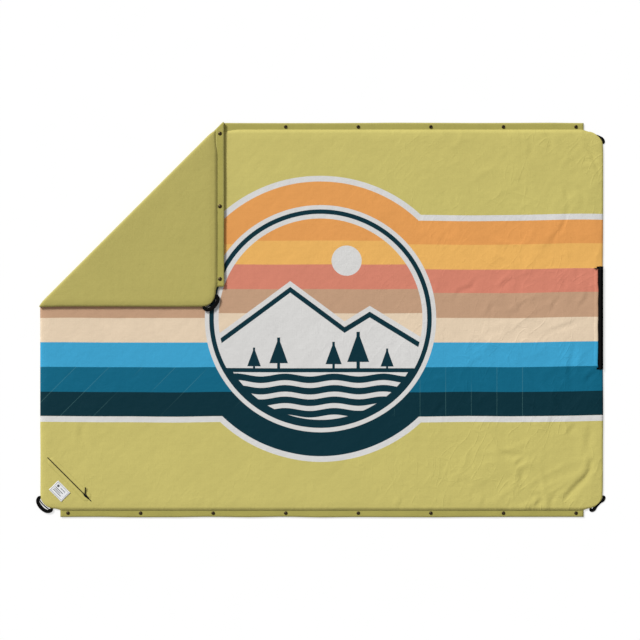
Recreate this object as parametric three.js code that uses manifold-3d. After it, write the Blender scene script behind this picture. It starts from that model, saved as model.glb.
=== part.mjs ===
// Insulated camp blanket: a quilted panel with one corner turned over onto its face, snap tapes
// along both long edges, a webbing loop at each corner, a zipped corner pocket and a zipped edge pocket.
// Millimetres, +Z up. The origin is under the middle of the panel, on the face that it lies on.
// X runs along the long side and Y along the short side, and the printed face is up.

import * as THREE from "three";
import { mergeVertices } from "three/addons/utils/BufferGeometryUtils.js";
import Module from "manifold-3d";

const wasm = await Module();
wasm.setup();

// ---- Driving dimensions ----

const gap = 0.3; // left between pieces that touch

// The quilted panel
const panelLength = 1950;
const panelWidth = 1305;
const panelLoft = 10;
const cornerRadius = 50;
const shellCloth = 0.8;

// The turned corner: a fold at 45 degrees across the left end of the far long edge
const foldLeg = 607.5; // from the square corner to the fold, along either edge
const foldAir = 1.25; // half of the air between the panel and the corner lying on it

// Snap tapes
const tapeWidth = 30;
const tapeCloth = 1.6;
const tapeEndInset = 70; // from the end of the panel to the end of the tape
const snapEndMargin = 26.5; // from the end of the tape to the last snap
const snapsPerRow = 8;

// Snap fasteners
const capDiameter = 14;
const capHeight = 1.8;
const shankDiameter = 3.6;
const snapBodyDiameter = 12.5;
const snapBaseHeight = 0.9;
const studDiameter = 5;
const studHeight = 2;
const studFit = 0.3; // radial clearance of the stud in its socket

// Corner loops
const webbingWidth = 15;
const webbingCloth = 1.6;
const loopSlit = 7.5; // open width between the loop and the rounded corner
const loopHingeOffset = 40; // from the centre of the corner's rounding to the line the loop is sewn on

// Both zips
const zipTapeWidth = 9;
const zipTapeCloth = 0.8;
const coilWidth = 3.2;
const zipTail = 6; // how far the zip tapes run on under the cloth at each end
const sliderLength = 11;
const sliderWidth = 8;
const sliderPlate = 1.2;
const earThickness = 1;
const barDiameter = 1;
const eyeWidth = 2.4;
const eyeDiameter = 3;
const pullerWidth = 4;
const pullerCloth = 1.4;
const lining = 0.8;

// Corner pocket, at the left end of the near long edge
const cornerZipLength = 214;
const cornerZipInset = 143.5; // from the square corner to the zip, along the diagonal
const cornerZipMouth = 8;
const cornerSliderTravelled = 185; // from the upper end of the zip to the slider
const cornerPullerLength = 28;
const cornerBagMargin = 14; // from the edges of the panel to the bag

// Edge pocket, along the right short edge
const edgeZipLength = 360;
const edgeZipInset = 14; // from the edge of the panel to the middle of the zip
const edgeZipShift = 7; // from the middle of the short edge to the middle of the zip
const edgeZipMouth = 14;
const edgeSliderInset = 9; // from the far end of the zip to the slider
const edgePullerLength = 20;
const edgeBagDepth = 300;

// Woven label
const labelLength = 60;
const labelWidth = 45;
const labelCloth = 0.6;
const labelAcross = 68; // from the left edge of the panel to the label's middle
const labelUp = 61; // from the near edge of the panel to the label's middle

// How finely round shapes are divided
const roundSides = 12;
const cornerSteps = 8;

// ---- Sizes and places that follow ----

const halfLength = panelLength / 2;
const halfWidth = panelWidth / 2;
const foldOffset = halfLength + halfWidth - foldLeg; // the fold lies on y = x + foldOffset
const foldAxisZ = panelLoft + foldAir;
const middleZ = panelLoft / 2;

const tapeInner = halfWidth + gap;
const tapeOuter = tapeInner + tapeWidth;
const tapeEnd = halfLength - tapeEndInset;
const tapeBottom = middleZ - tapeCloth / 2;
const tapeTop = middleZ + tapeCloth / 2;
const snapY = (tapeInner + tapeOuter) / 2;
const snapPitch = (2 * (tapeEnd - snapEndMargin)) / (snapsPerRow - 1);
const snapHole = shankDiameter / 2 + gap;
const snapFace = tapeTop + gap; // underside of a socket or stud
const shankTop = snapFace + snapBaseHeight;

const bagTop = panelLoft - shellCloth - zipTapeCloth - 2 * gap;
const zipTapeBottom = bagTop + gap;
const recessFloor = bagTop - lining - gap; // top of the filling under a pocket
const sliderBottom = panelLoft + gap;
const sliderTop = sliderBottom + sliderPlate;
const barZ = sliderTop + gap + eyeDiameter / 2;
const earWidth = eyeWidth + 2 * gap + 2 * earThickness;

// ---- Materials ----

function cloth(colour, roughness) {
  return new THREE.MeshStandardMaterial({ color: colour, roughness, metalness: 0 });
}

const faceCloth = cloth(0xc5bb6e, 0.7);
const backCloth = cloth(0xb3a761, 0.75);
const filling = cloth(0xf0efe9, 0.95);
const tapeMaterial = cloth(0xa9a15c, 0.8);
const blackWebbing = cloth(0x17140f, 0.85);
const blackZipTape = cloth(0x1c1a17, 0.85);
const blackNylon = cloth(0x141312, 0.5);
const liningCloth = cloth(0x8f8750, 0.85);
const whiteLabel = cloth(0xd9dbdc, 0.8);
const bronze = new THREE.MeshStandardMaterial({ color: 0x4f4022, roughness: 0.4, metalness: 1 });
const blackMetal = new THREE.MeshStandardMaterial({ color: 0x1b1a19, roughness: 0.45, metalness: 0.8 });

// ---- Helpers ----

// A closed geometry, with its matrix applied, as a manifold-3d solid.
function solid(geometry) {
  const plain = geometry.clone();
  plain.deleteAttribute("normal");
  plain.deleteAttribute("uv");
  const merged = mergeVertices(plain, 1e-4);
  const corners = [];
  const index = merged.index.array;
  for (let i = 0; i < index.length; i += 3) {
    const [a, b, c] = [index[i], index[i + 1], index[i + 2]];
    if (a !== b && b !== c && c !== a) corners.push(a, b, c);
  }
  return new wasm.Manifold(
    new wasm.Mesh({
      numProp: 3,
      vertProperties: merged.attributes.position.array,
      triVerts: new Uint32Array(corners),
    }),
  );
}

// A manifold-3d solid as a geometry.
function geometryOf(body) {
  const { vertProperties, triVerts } = body.getMesh();
  const geometry = new THREE.BufferGeometry();
  geometry.setAttribute("position", new THREE.BufferAttribute(vertProperties, 3));
  geometry.setIndex(new THREE.BufferAttribute(triVerts, 1));
  geometry.computeVertexNormals();
  return geometry;
}

// A flat outline, given thickness between two heights.
function slab(outline, bottom, top, curveSegments = cornerSteps) {
  const geometry = new THREE.ExtrudeGeometry(outline, {
    depth: top - bottom,
    bevelEnabled: false,
    curveSegments,
  });
  return geometry.translate(0, 0, bottom);
}

function box(x0, x1, y0, y1, z0, z1) {
  const geometry = new THREE.BoxGeometry(x1 - x0, y1 - y0, z1 - z0);
  return geometry.translate((x0 + x1) / 2, (y0 + y1) / 2, (z0 + z1) / 2);
}

// A profile of [radius, height] points turned about the Z axis.
function turned(profile) {
  const points = profile.map(([radius, height]) => new THREE.Vector2(radius, height));
  const geometry = new THREE.LatheGeometry(points, roundSides);
  return geometryOf(solid(geometry.rotateX(Math.PI / 2)));
}

// A round bar along the X axis, between two ends.
function barAlongX(radius, x0, x1) {
  const geometry = new THREE.CylinderGeometry(radius, radius, x1 - x0, roundSides);
  return geometry.rotateZ(Math.PI / 2).translate((x0 + x1) / 2, 0, 0);
}

function polygon(points) {
  return new THREE.Shape(points.map(([x, y]) => new THREE.Vector2(x, y)));
}

function add(parent, name, geometry, material) {
  const mesh = new THREE.Mesh(geometry, material);
  mesh.name = name;
  parent.add(mesh);
  return mesh;
}

// ---- Outlines of the panel, on each side of the fold ----

// setback is how far the outline stops short of the fold, and is negative to run past it.
function mainOutline(inset, setback) {
  const x = halfLength - inset;
  const y = halfWidth - inset;
  const radius = cornerRadius - inset;
  const offset = foldOffset - Math.SQRT2 * setback;
  const outline = new THREE.Shape();
  outline.moveTo(-x, -x + offset);
  outline.lineTo(-x, -y + radius);
  outline.absarc(-x + radius, -y + radius, radius, Math.PI, 1.5 * Math.PI);
  outline.lineTo(x - radius, -y);
  outline.absarc(x - radius, -y + radius, radius, 1.5 * Math.PI, 2 * Math.PI);
  outline.lineTo(x, y - radius);
  outline.absarc(x - radius, y - radius, radius, 0, Math.PI / 2);
  outline.lineTo(y - offset, y);
  outline.closePath();
  return outline;
}

function cornerOutline(inset, setback) {
  const x = halfLength - inset;
  const y = halfWidth - inset;
  const radius = cornerRadius - inset;
  const offset = foldOffset + Math.SQRT2 * setback;
  const outline = new THREE.Shape();
  outline.moveTo(y - offset, y);
  outline.lineTo(-x + radius, y);
  outline.absarc(-x + radius, y - radius, radius, Math.PI / 2, Math.PI);
  outline.lineTo(-x, -x + offset);
  outline.closePath();
  return outline;
}

// ---- Quilted layers ----

// One shell is a shallow tray that meets the other at half the loft. It is open along the fold.
function shell(outlineOf, faceUp) {
  const seamLow = middleZ - gap / 2;
  const seamHigh = middleZ + gap / 2;
  const outer = faceUp ? [seamHigh, panelLoft] : [0, seamLow];
  const inner = faceUp ? [0, panelLoft - shellCloth] : [shellCloth, panelLoft];
  const tray = solid(slab(outlineOf(0, gap), ...outer));
  return tray.subtract(solid(slab(outlineOf(shellCloth, -shellCloth), ...inner)));
}

function quiltFilling(outlineOf) {
  const side = shellCloth + gap;
  return solid(slab(outlineOf(side, gap), side, panelLoft - side));
}

// ---- Snap tapes and snaps ----

function snapPositions() {
  const first = -(tapeEnd - snapEndMargin);
  return Array.from({ length: snapsPerRow }, (_, i) => first + i * snapPitch);
}

function snapTape(outline, xs, y) {
  for (const x of xs) {
    const hole = new THREE.Path();
    hole.absarc(x, y, snapHole, 0, 2 * Math.PI, true);
    outline.holes.push(hole);
  }
  return slab(outline, tapeBottom, tapeTop, roundSides);
}

// The domed cap lies on the back of the tape, and its shank goes up through the hole.
function snapCap() {
  const top = tapeBottom - gap;
  return turned([
    [0, top - capHeight],
    [capDiameter * 0.3, top - capHeight * 0.9],
    [capDiameter / 2, top - capHeight * 0.35],
    [capDiameter / 2, top],
    [shankDiameter / 2, top],
    [shankDiameter / 2, shankTop],
    [0, shankTop],
  ]);
}

function snapSocket() {
  const well = studDiameter / 2 + studFit;
  const rim = shankTop + studHeight + studFit;
  return turned([
    [snapHole, snapFace],
    [snapBodyDiameter / 2, snapFace],
    [snapBodyDiameter / 2, shankTop],
    [well + 1.2, rim],
    [well, rim],
    [well, shankTop],
    [snapHole, shankTop],
    [snapHole, snapFace],
  ]);
}

function snapStud() {
  const base = shankTop + gap;
  return turned([
    [snapHole, snapFace],
    [snapBodyDiameter / 2, snapFace],
    [snapBodyDiameter / 2, shankTop],
    [studDiameter / 2 + 0.6, base],
    [studDiameter / 2 - 0.2, base + 0.6],
    [studDiameter / 2, base + studHeight - 0.6],
    [studDiameter / 2 - 0.4, base + studHeight],
    [0, base + studHeight],
    [0, base],
    [snapHole, base],
    [snapHole, snapFace],
  ]);
}

function addSnap(parent, name, kind, x, y) {
  const half = kind === "socket" ? snapSocket() : snapStud();
  add(parent, `${name}_cap`, snapCap(), bronze).position.set(x, y, 0);
  add(parent, `${name}_${kind}`, half, bronze).position.set(x, y, 0);
}

// ---- Corner loops ----

// Seen from the centre of the corner's rounding, +X points out through the corner. Two legs
// rise from the sewn line and a straight band joins them past the rounding.
function cornerLoop() {
  const root = loopHingeOffset - webbingCloth / 2;
  const legInner = Math.sqrt((cornerRadius + gap) ** 2 - root ** 2) + 0.1;
  const legOuter = legInner + webbingWidth;
  const bandInner = cornerRadius + loopSlit;
  const bandOuter = bandInner + webbingWidth;
  const legRise = loopHingeOffset + middleZ + 2 * gap; // clears the panel when the loop stands up
  const innerReach = bandInner - legRise;
  const chamfer = legRise + legInner + webbingWidth * Math.SQRT2;
  const half = [
    [root, legInner],
    [legRise, legInner],
    [bandInner, legInner - innerReach],
  ];
  const outerHalf = [
    [bandOuter, chamfer - bandOuter],
    [chamfer - legOuter, legOuter],
    [root, legOuter],
  ];
  const mirrored = (points) => points.map(([u, v]) => [u, -v]).reverse();
  const outline = polygon([...half, ...mirrored(half), ...mirrored(outerHalf), ...outerHalf]);
  return slab(outline, middleZ - webbingCloth / 2, middleZ + webbingCloth / 2);
}

function addLoop(parent, name, signX, signY) {
  const loop = add(parent, name, cornerLoop(), blackWebbing);
  loop.position.set(signX * (halfLength - cornerRadius), signY * (halfWidth - cornerRadius), 0);
  loop.rotation.z = Math.atan2(signY, signX);
}

// ---- Zips ----

// A zip lies along X in its own group. The mouth in the cloth above it shows the coil and part of the tapes.
function addZip(parent, name, length, middle, angle) {
  const zip = new THREE.Group();
  zip.position.set(middle.x, middle.y, 0);
  zip.rotation.z = angle;
  parent.add(zip);
  const end = length / 2 + zipTail;
  const inner = coilWidth / 2 + gap;
  const tape = [zipTapeBottom, zipTapeBottom + zipTapeCloth];
  add(zip, `${name}_zip_tape_inner`, box(-end, end, inner, inner + zipTapeWidth, ...tape), blackZipTape);
  add(zip, `${name}_zip_tape_outer`, box(-end, end, -inner - zipTapeWidth, -inner, ...tape), blackZipTape);
  const coil = box(-length / 2, length / 2, -coilWidth / 2, coilWidth / 2, zipTapeBottom, panelLoft);
  add(zip, `${name}_zip_coil`, coil, blackNylon);
}

// What is cut away over a zip, from a height upwards.
function zipCut(length, width, bottom, middle, angle) {
  const cut = box(-length / 2 - gap, length / 2 + gap, -width / 2, width / 2, bottom, 2 * panelLoft);
  return solid(cut.rotateZ(angle).translate(middle.x, middle.y, 0));
}

function zipMouth(length, mouth, middle, angle) {
  return zipCut(length, mouth, 0, middle, angle);
}

// Room in the filling for the zip tapes
function zipRecess(length, middle, angle) {
  const width = coilWidth + 2 * (zipTapeWidth + 2 * gap);
  return zipCut(length + 2 * zipTail, width, recessFloor, middle, angle);
}

// The slider's plate follows the zip. Two ears on it hold the bar that the puller turns on.
function slider(zipAngle, pullerAngle) {
  const nose = sliderLength / 2;
  const side = sliderWidth / 2;
  const outline = polygon([
    [-nose, -side * 0.6],
    [0, -side],
    [nose, -side],
    [nose, side],
    [0, side],
    [-nose, side * 0.6],
  ]);
  let body = solid(slab(outline, sliderBottom, sliderTop).rotateZ(zipAngle));
  const earInner = eyeWidth / 2 + gap;
  const earSide = eyeDiameter / 2;
  const earTop = barZ + barDiameter / 2 + gap;
  for (const sign of [-1, 1]) {
    const sides = [sign * earInner, sign * (earInner + earThickness)].sort((a, b) => a - b);
    const ear = box(...sides, -earSide, earSide, sliderTop - sliderPlate / 2, earTop);
    body = body.add(solid(ear.rotateZ(pullerAngle)));
  }
  const reach = earWidth / 2 - earThickness / 2;
  const bar = barAlongX(barDiameter / 2, -reach, reach).translate(0, 0, barZ);
  return geometryOf(body.add(solid(bar.rotateZ(pullerAngle))));
}

// A tab on an eye that goes round the slider's bar. It lies along +Y before it is turned.
function puller(length, pullerAngle) {
  const low = barZ - pullerCloth / 2;
  const high = barZ + pullerCloth / 2;
  const clear = eyeDiameter / 2 + 2 * gap;
  const eye = solid(barAlongX(eyeDiameter / 2, -eyeWidth / 2, eyeWidth / 2).translate(0, 0, barZ));
  const neck = solid(box(-eyeWidth / 2, eyeWidth / 2, 0, clear + 1, low, high));
  const tab = solid(box(-pullerWidth / 2, pullerWidth / 2, clear, length, low, high));
  const hole = barAlongX(barDiameter / 2 + gap, -eyeWidth, eyeWidth).translate(0, 0, barZ);
  const body = eye.add(neck).add(tab).subtract(solid(hole));
  return geometryOf(body).rotateZ(pullerAngle);
}

function addSlider(parent, name, at, zipAngle, pullerAngle, pullerLength) {
  add(parent, `${name}_zip_slider`, slider(zipAngle, pullerAngle), blackMetal).position.set(at.x, at.y, 0);
  add(parent, `${name}_zip_puller`, puller(pullerLength, pullerAngle), blackWebbing).position.set(at.x, at.y, 0);
}

// ---- Places of the pockets ----

const cornerZipAngle = -Math.PI / 4;
const cornerZipMiddle = new THREE.Vector2(-halfLength, -halfWidth).addScalar(cornerZipInset / Math.SQRT2);
const cornerZipRun = new THREE.Vector2(Math.cos(cornerZipAngle), Math.sin(cornerZipAngle));
const cornerSliderAt = cornerZipMiddle
  .clone()
  .addScaledVector(cornerZipRun, cornerSliderTravelled - cornerZipLength / 2);

const edgeZipAngle = -Math.PI / 2;
const edgeZipMiddle = new THREE.Vector2(halfLength - edgeZipInset, edgeZipShift);
const edgeSliderAt = new THREE.Vector2(edgeZipMiddle.x, edgeZipMiddle.y + edgeZipLength / 2 - edgeSliderInset);

// The corner pocket's bag fills the triangle between its zip and the corner.
function cornerBagOutline(margin) {
  const reach = cornerZipInset * Math.SQRT2 + (coilWidth / 2 + zipTapeWidth) * Math.SQRT2;
  const cut = cornerRadius; // the bag is cut off square to the diagonal, inside the rounding
  return polygon([
    [-halfLength + margin, -halfWidth + reach - margin],
    [-halfLength + margin, -halfWidth + margin + cut],
    [-halfLength + margin + cut, -halfWidth + margin],
    [-halfLength + reach - margin, -halfWidth + margin],
  ]);
}

function edgeBagOutline(grow) {
  const right = edgeZipMiddle.x + coilWidth / 2 + zipTapeWidth + grow;
  const left = right - edgeBagDepth - 2 * grow;
  const half = edgeZipLength / 2 + zipTail + grow;
  return polygon([
    [left, edgeZipShift - half],
    [right, edgeZipShift - half],
    [right, edgeZipShift + half],
    [left, edgeZipShift + half],
  ]);
}

// ---- The blanket ----

const blanket = new THREE.Group();

// Main panel
const frontShell = shell(mainOutline, true)
  .subtract(zipMouth(cornerZipLength, cornerZipMouth, cornerZipMiddle, cornerZipAngle))
  .subtract(zipMouth(edgeZipLength, edgeZipMouth, edgeZipMiddle, edgeZipAngle));
const mainFilling = quiltFilling(mainOutline)
  .subtract(zipRecess(cornerZipLength, cornerZipMiddle, cornerZipAngle))
  .subtract(zipRecess(edgeZipLength, edgeZipMiddle, edgeZipAngle))
  .subtract(solid(slab(cornerBagOutline(cornerBagMargin - 2 * gap), recessFloor, 2 * panelLoft)))
  .subtract(solid(slab(edgeBagOutline(gap), recessFloor, 2 * panelLoft)));
add(blanket, "front_shell", geometryOf(frontShell), faceCloth);
add(blanket, "insulation", geometryOf(mainFilling), filling);
add(blanket, "back_shell", geometryOf(shell(mainOutline, false)), backCloth);

// Turned corner, drawn flat in its own group, which is turned half round about the fold
const corner = new THREE.Group();
const foldDirection = new THREE.Vector3(1, 1, 0).normalize();
const foldPoint = new THREE.Vector3(-halfLength, foldOffset - halfLength, foldAxisZ);
corner.quaternion.setFromAxisAngle(foldDirection, Math.PI);
corner.position.copy(foldPoint).sub(foldPoint.clone().applyQuaternion(corner.quaternion));
blanket.add(corner);
add(corner, "corner_front_shell", geometryOf(shell(cornerOutline, true)), faceCloth);
add(corner, "corner_insulation", geometryOf(quiltFilling(cornerOutline)), filling);
add(corner, "corner_back_shell", geometryOf(shell(cornerOutline, false)), backCloth);

// The cloth that wraps round the fold, from panel to corner and from tape to tape
function foldRing(outer, inner, from, to) {
  const ring = new THREE.Shape();
  ring.absarc(0, 0, outer, Math.PI / 2, 1.5 * Math.PI);
  ring.lineTo(0, -inner);
  ring.absarc(0, 0, inner, 1.5 * Math.PI, Math.PI / 2, true);
  ring.closePath();
  const geometry = slab(ring, from, to, cornerSteps);
  // The ring's own Z goes along the fold, and its -X goes out past the fold.
  const out = new THREE.Vector3(-1, 1, 0).normalize();
  const basis = new THREE.Matrix4().makeBasis(out.clone().negate(), new THREE.Vector3(0, 0, 1), foldDirection);
  // That basis is left-handed, so the ring is turned end for end to keep its faces out.
  if (basis.determinant() < 0) {
    geometry.rotateX(Math.PI).translate(0, 0, from + to);
    basis.makeBasis(out.clone().negate(), new THREE.Vector3(0, 0, -1), foldDirection);
  }
  return solid(geometry.applyMatrix4(basis).translate(foldPoint.x, foldPoint.y, foldPoint.z));
}
const panelFold = foldLeg * Math.SQRT2;
const tapeFold = panelFold + (tapeOuter - halfWidth) * Math.SQRT2;
const foldBend = foldRing(foldAxisZ, foldAir, 0, panelFold).add(
  foldRing(foldAxisZ - tapeBottom, foldAxisZ - tapeTop, panelFold - 1, tapeFold),
);
add(blanket, "fold_bend", geometryOf(foldBend), faceCloth);

// Snap tapes, with sockets on the far row and studs on the near row
const foldedXs = snapPositions().filter((x) => x < snapY - foldOffset);
const flatXs = snapPositions().filter((x) => x >= snapY - foldOffset);
const setback = Math.SQRT2 * gap;
const farTape = polygon([
  [tapeInner - foldOffset + setback, tapeInner],
  [tapeEnd, tapeInner],
  [tapeEnd, tapeOuter],
  [tapeOuter - foldOffset + setback, tapeOuter],
]);
const cornerTape = polygon([
  [-tapeEnd, tapeInner],
  [tapeInner - foldOffset - setback, tapeInner],
  [tapeOuter - foldOffset - setback, tapeOuter],
  [-tapeEnd, tapeOuter],
]);
const nearTape = polygon([
  [-tapeEnd, -tapeOuter],
  [tapeEnd, -tapeOuter],
  [tapeEnd, -tapeInner],
  [-tapeEnd, -tapeInner],
]);
add(blanket, "snap_tape_far", snapTape(farTape, flatXs, snapY), tapeMaterial);
add(corner, "snap_tape_corner", snapTape(cornerTape, foldedXs, snapY), tapeMaterial);
add(blanket, "snap_tape_near", snapTape(nearTape, snapPositions(), -snapY), tapeMaterial);
snapPositions().forEach((x, i) => {
  const folded = foldedXs.includes(x);
  addSnap(folded ? corner : blanket, `far_snap_${i + 1}`, "socket", x, snapY);
  addSnap(blanket, `near_snap_${i + 1}`, "stud", x, -snapY);
});

// Corner loops
addLoop(corner, "loop_far_left", -1, 1);
addLoop(blanket, "loop_far_right", 1, 1);
addLoop(blanket, "loop_near_left", -1, -1);
addLoop(blanket, "loop_near_right", 1, -1);

// Corner pocket
addZip(blanket, "corner_pocket", cornerZipLength, cornerZipMiddle, cornerZipAngle);
addSlider(blanket, "corner_pocket", cornerSliderAt, cornerZipAngle, 0, cornerPullerLength);
const cornerBag = slab(cornerBagOutline(cornerBagMargin), bagTop - lining, bagTop);
add(blanket, "corner_pocket_bag", cornerBag, liningCloth);

// Edge pocket
addZip(blanket, "edge_pocket", edgeZipLength, edgeZipMiddle, edgeZipAngle);
addSlider(blanket, "edge_pocket", edgeSliderAt, edgeZipAngle, Math.PI / 2, edgePullerLength);
add(blanket, "edge_pocket_bag", slab(edgeBagOutline(0), bagTop - lining, bagTop), liningCloth);

// Label, sewn on beside the corner pocket and in line with its zip
const labelBottom = panelLoft + gap;
const label = add(
  blanket,
  "woven_label",
  box(-labelLength / 2, labelLength / 2, -labelWidth / 2, labelWidth / 2, labelBottom, labelBottom + labelCloth),
  whiteLabel,
);
label.position.set(-halfLength + labelAcross, -halfWidth + labelUp, 0);
label.rotation.z = cornerZipAngle;

export default blanket;
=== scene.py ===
import math

import bpy
import numpy as np
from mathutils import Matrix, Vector


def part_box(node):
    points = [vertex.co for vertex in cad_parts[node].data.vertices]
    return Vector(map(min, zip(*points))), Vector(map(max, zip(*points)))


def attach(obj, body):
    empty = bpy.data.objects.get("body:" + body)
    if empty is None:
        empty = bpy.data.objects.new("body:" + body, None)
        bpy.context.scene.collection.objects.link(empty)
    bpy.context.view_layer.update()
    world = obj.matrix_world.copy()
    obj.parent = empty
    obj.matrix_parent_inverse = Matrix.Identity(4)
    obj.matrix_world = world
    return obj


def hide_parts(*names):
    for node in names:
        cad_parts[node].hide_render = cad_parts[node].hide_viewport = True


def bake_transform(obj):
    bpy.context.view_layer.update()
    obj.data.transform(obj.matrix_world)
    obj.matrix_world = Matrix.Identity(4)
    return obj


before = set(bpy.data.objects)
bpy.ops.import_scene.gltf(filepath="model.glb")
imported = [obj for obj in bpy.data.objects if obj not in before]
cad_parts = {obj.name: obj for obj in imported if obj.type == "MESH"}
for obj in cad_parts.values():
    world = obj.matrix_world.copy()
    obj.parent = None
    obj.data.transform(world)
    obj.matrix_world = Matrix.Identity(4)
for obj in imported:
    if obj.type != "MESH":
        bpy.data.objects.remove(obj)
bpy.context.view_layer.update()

# The blanket's own sizes, in metres, as in the CAD.
HALF_LENGTH, HALF_WIDTH, CORNER = 0.975, 0.6525, 0.05
LOFT, SEAM = 0.01, 0.005
FOLD_HEIGHT = 0.01125
FOLD_OFFSET = 1.02  # the fold is the line y = x + FOLD_OFFSET on the flat cloth
TAPE_WIDTH, TAPE_GAP, TAPE_HALF_LENGTH, TAPE_CLOTH = 0.03, 0.0003, 0.905, 0.0016
TAPE_EDGE = HALF_WIDTH + TAPE_GAP + TAPE_WIDTH
TAPE_SEWN, TAPE_INSET = 0.004, 0.0012  # under the rim, and short of the edge
MILLIMETRE = 0.001
ROOT_HALF = math.sqrt(0.5)
ZIP_MIDDLE, ZIP_HALF = (-0.8735, -0.5510), 0.107  # the corner pocket's zip
ZIP_ALONG = (ROOT_HALF, -ROOT_HALF)
ZIP_STITCH = 0.0170  # from that zip to the line of stitches on its corner side
LIGHT_LEVEL = 1.06  # what a level surface receives, so that colours are set as seen
HAZE = 0.0045  # what the cloth's own gloss adds to every colour


# ---- numbers and noise


def smooth(low, high, value):
    """0 below low, 1 above high and an even S between them."""
    t = np.clip((value - low) / (high - low), 0, 1)
    return t * t * (3 - 2 * t)


def noise(x, y, seed):
    """Smooth value noise from -1 to 1, one cell a unit, the same on every run."""
    table = np.random.default_rng(seed).uniform(-1, 1, (128, 128))
    column, row = np.floor(x).astype(int), np.floor(y).astype(int)
    fx, fy = x - column, y - row
    fx, fy = fx * fx * (3 - 2 * fx), fy * fy * (3 - 2 * fy)

    def at(i, j):
        return table[(column + i) % 128, (row + j) % 128]

    low = at(0, 0) * (1 - fx) + at(1, 0) * fx
    high = at(0, 1) * (1 - fx) + at(1, 1) * fx
    return low * (1 - fy) + high * fy


def distance_to_path(x, y, points):
    """Distance to a line of points, positive on the left of its run, and how far along, 0 to 1."""
    best, along = np.full(np.shape(x), 1e9), np.zeros(np.shape(x))
    pieces = list(zip(points[:-1], points[1:]))
    for index, ((ax, ay), (bx, by)) in enumerate(pieces):
        dx, dy = bx - ax, by - ay
        t = np.clip(((x - ax) * dx + (y - ay) * dy) / (dx * dx + dy * dy), 0, 1)
        distance = np.hypot(x - ax - t * dx, y - ay - t * dy)
        left = np.where(dx * (y - ay) - dy * (x - ax) >= 0, 1.0, -1.0)
        nearer = distance < np.abs(best)
        best = np.where(nearer, distance * left, best)
        along = np.where(nearer, (index + t) / len(pieces), along)
    return best, along


def edge_distance(x, y):
    """How far inside the panel's rounded outline a flat point lies."""
    px = np.abs(x) - (HALF_LENGTH - CORNER)
    py = np.abs(y) - (HALF_WIDTH - CORNER)
    outside = np.hypot(np.maximum(px, 0), np.maximum(py, 0))
    return CORNER - outside - np.minimum(np.maximum(px, py), 0)


def past_line(x, y):
    """How far a flat point lies past the fold line, on the side of the corner that turns."""
    return (y - x - FOLD_OFFSET) * ROOT_HALF


# ---- meshes


def make_mesh(name, points, faces, materials, face_material=None, flat=None):
    """A mesh object. flat is one (u, v) a point, the cloth's own flat place."""
    mesh = bpy.data.meshes.new(name)
    mesh.from_pydata([tuple(p) for p in points], [], [tuple(f) for f in faces])
    for material in materials:
        mesh.materials.append(material)
    if face_material is not None:
        mesh.polygons.foreach_set("material_index", np.array(face_material, np.int32))
    mesh.polygons.foreach_set("use_smooth", np.full(len(mesh.polygons), True))
    if flat is not None:
        layer = mesh.uv_layers.new(name="flat")
        corner_vertex = np.empty(len(mesh.loops), np.int32)
        mesh.loops.foreach_get("vertex_index", corner_vertex)
        layer.uv.foreach_set("vector", np.array(flat, np.float32)[corner_vertex].ravel())
    mesh.update()
    made = bpy.data.objects.new(name, mesh)
    bpy.context.scene.collection.objects.link(made)
    return made


def place(piece, body, slot, *nodes):
    """Puts a finished piece on its body and hides the CAD nodes it stands for; its finish, the slot,
    is not used.
    """
    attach(piece, body)
    if nodes:
        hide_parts(*nodes)
    return piece


def tube_faces(count, around):
    """The faces between rings of points, each ring joined to the next."""
    steps = [(k, (k + 1) % around) for k in range(around)]
    return [(low + k, low + n, low + around + n, low + around + k)
            for low in range(0, (count - 1) * around, around) for k, n in steps]


def ribbon(name, rows, thickness, material, flat=None):
    """A strip of cloth: rows of points across it, given at mid thickness, with thinner sides."""
    rows = np.array(rows, float)
    count, across = rows.shape[:2]
    normal = np.cross(np.gradient(rows, axis=0), np.gradient(rows, axis=1))
    normal /= np.maximum(np.linalg.norm(normal, axis=2, keepdims=True), 1e-12)
    half = np.full(across, thickness / 2)
    half[0] = half[-1] = thickness / 4
    top = rows + normal * half[None, :, None]
    bottom = rows - normal * half[None, :, None]
    ring = np.concatenate([top, bottom[:, ::-1]], axis=1)
    around = 2 * across
    faces = tube_faces(count, around)
    last = (count - 1) * around
    for k in range(across - 1):
        m = around - 1 - k
        faces.append((k + 1, k, m, m - 1))
        faces.append((last + k, last + k + 1, last + m - 1, last + m))
    if flat is not None:
        flat = np.array(flat, float)
        flat = np.concatenate([flat, flat[:, ::-1]], axis=1).reshape(-1, 2)
    return facing_out(make_mesh(name, ring.reshape(-1, 3), faces, [material], flat=flat))


def facing_out(piece):
    """Turns a closed mesh's faces outward."""
    mesh = piece.data
    co = np.array([v.co for v in mesh.vertices])
    volume = 0.0
    for face in mesh.polygons:
        a = co[face.vertices[0]]
        for n in range(1, len(face.vertices) - 1):
            b, c = co[face.vertices[n]], co[face.vertices[n + 1]]
            volume += float(np.dot(a, np.cross(b, c)))
    if volume < 0:
        mesh.flip_normals()
    return piece


def spline(points, count):
    """An even run of points along a smooth curve through the given ones."""
    points = np.array(points, float)
    padded = np.vstack([2 * points[0] - points[1], points, 2 * points[-1] - points[-2]])
    found = []
    for a, b, c, d in zip(padded[:-3], padded[1:-2], padded[2:-1], padded[3:]):
        t = np.linspace(0, 1, 24, endpoint=False)[:, None]
        found.append(0.5 * (2 * b + (c - a) * t + (2 * a - 5 * b + 4 * c - d) * t ** 2
                            + (3 * b - a - 3 * c + d) * t ** 3))
    line = np.vstack(found + [points[-1:]])
    run = np.concatenate([[0], np.cumsum(np.linalg.norm(np.diff(line, axis=0), axis=1))])
    want = np.linspace(0, run[-1], count)
    return np.stack([np.interp(want, run, line[:, k]) for k in range(line.shape[1])], 1)


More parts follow.
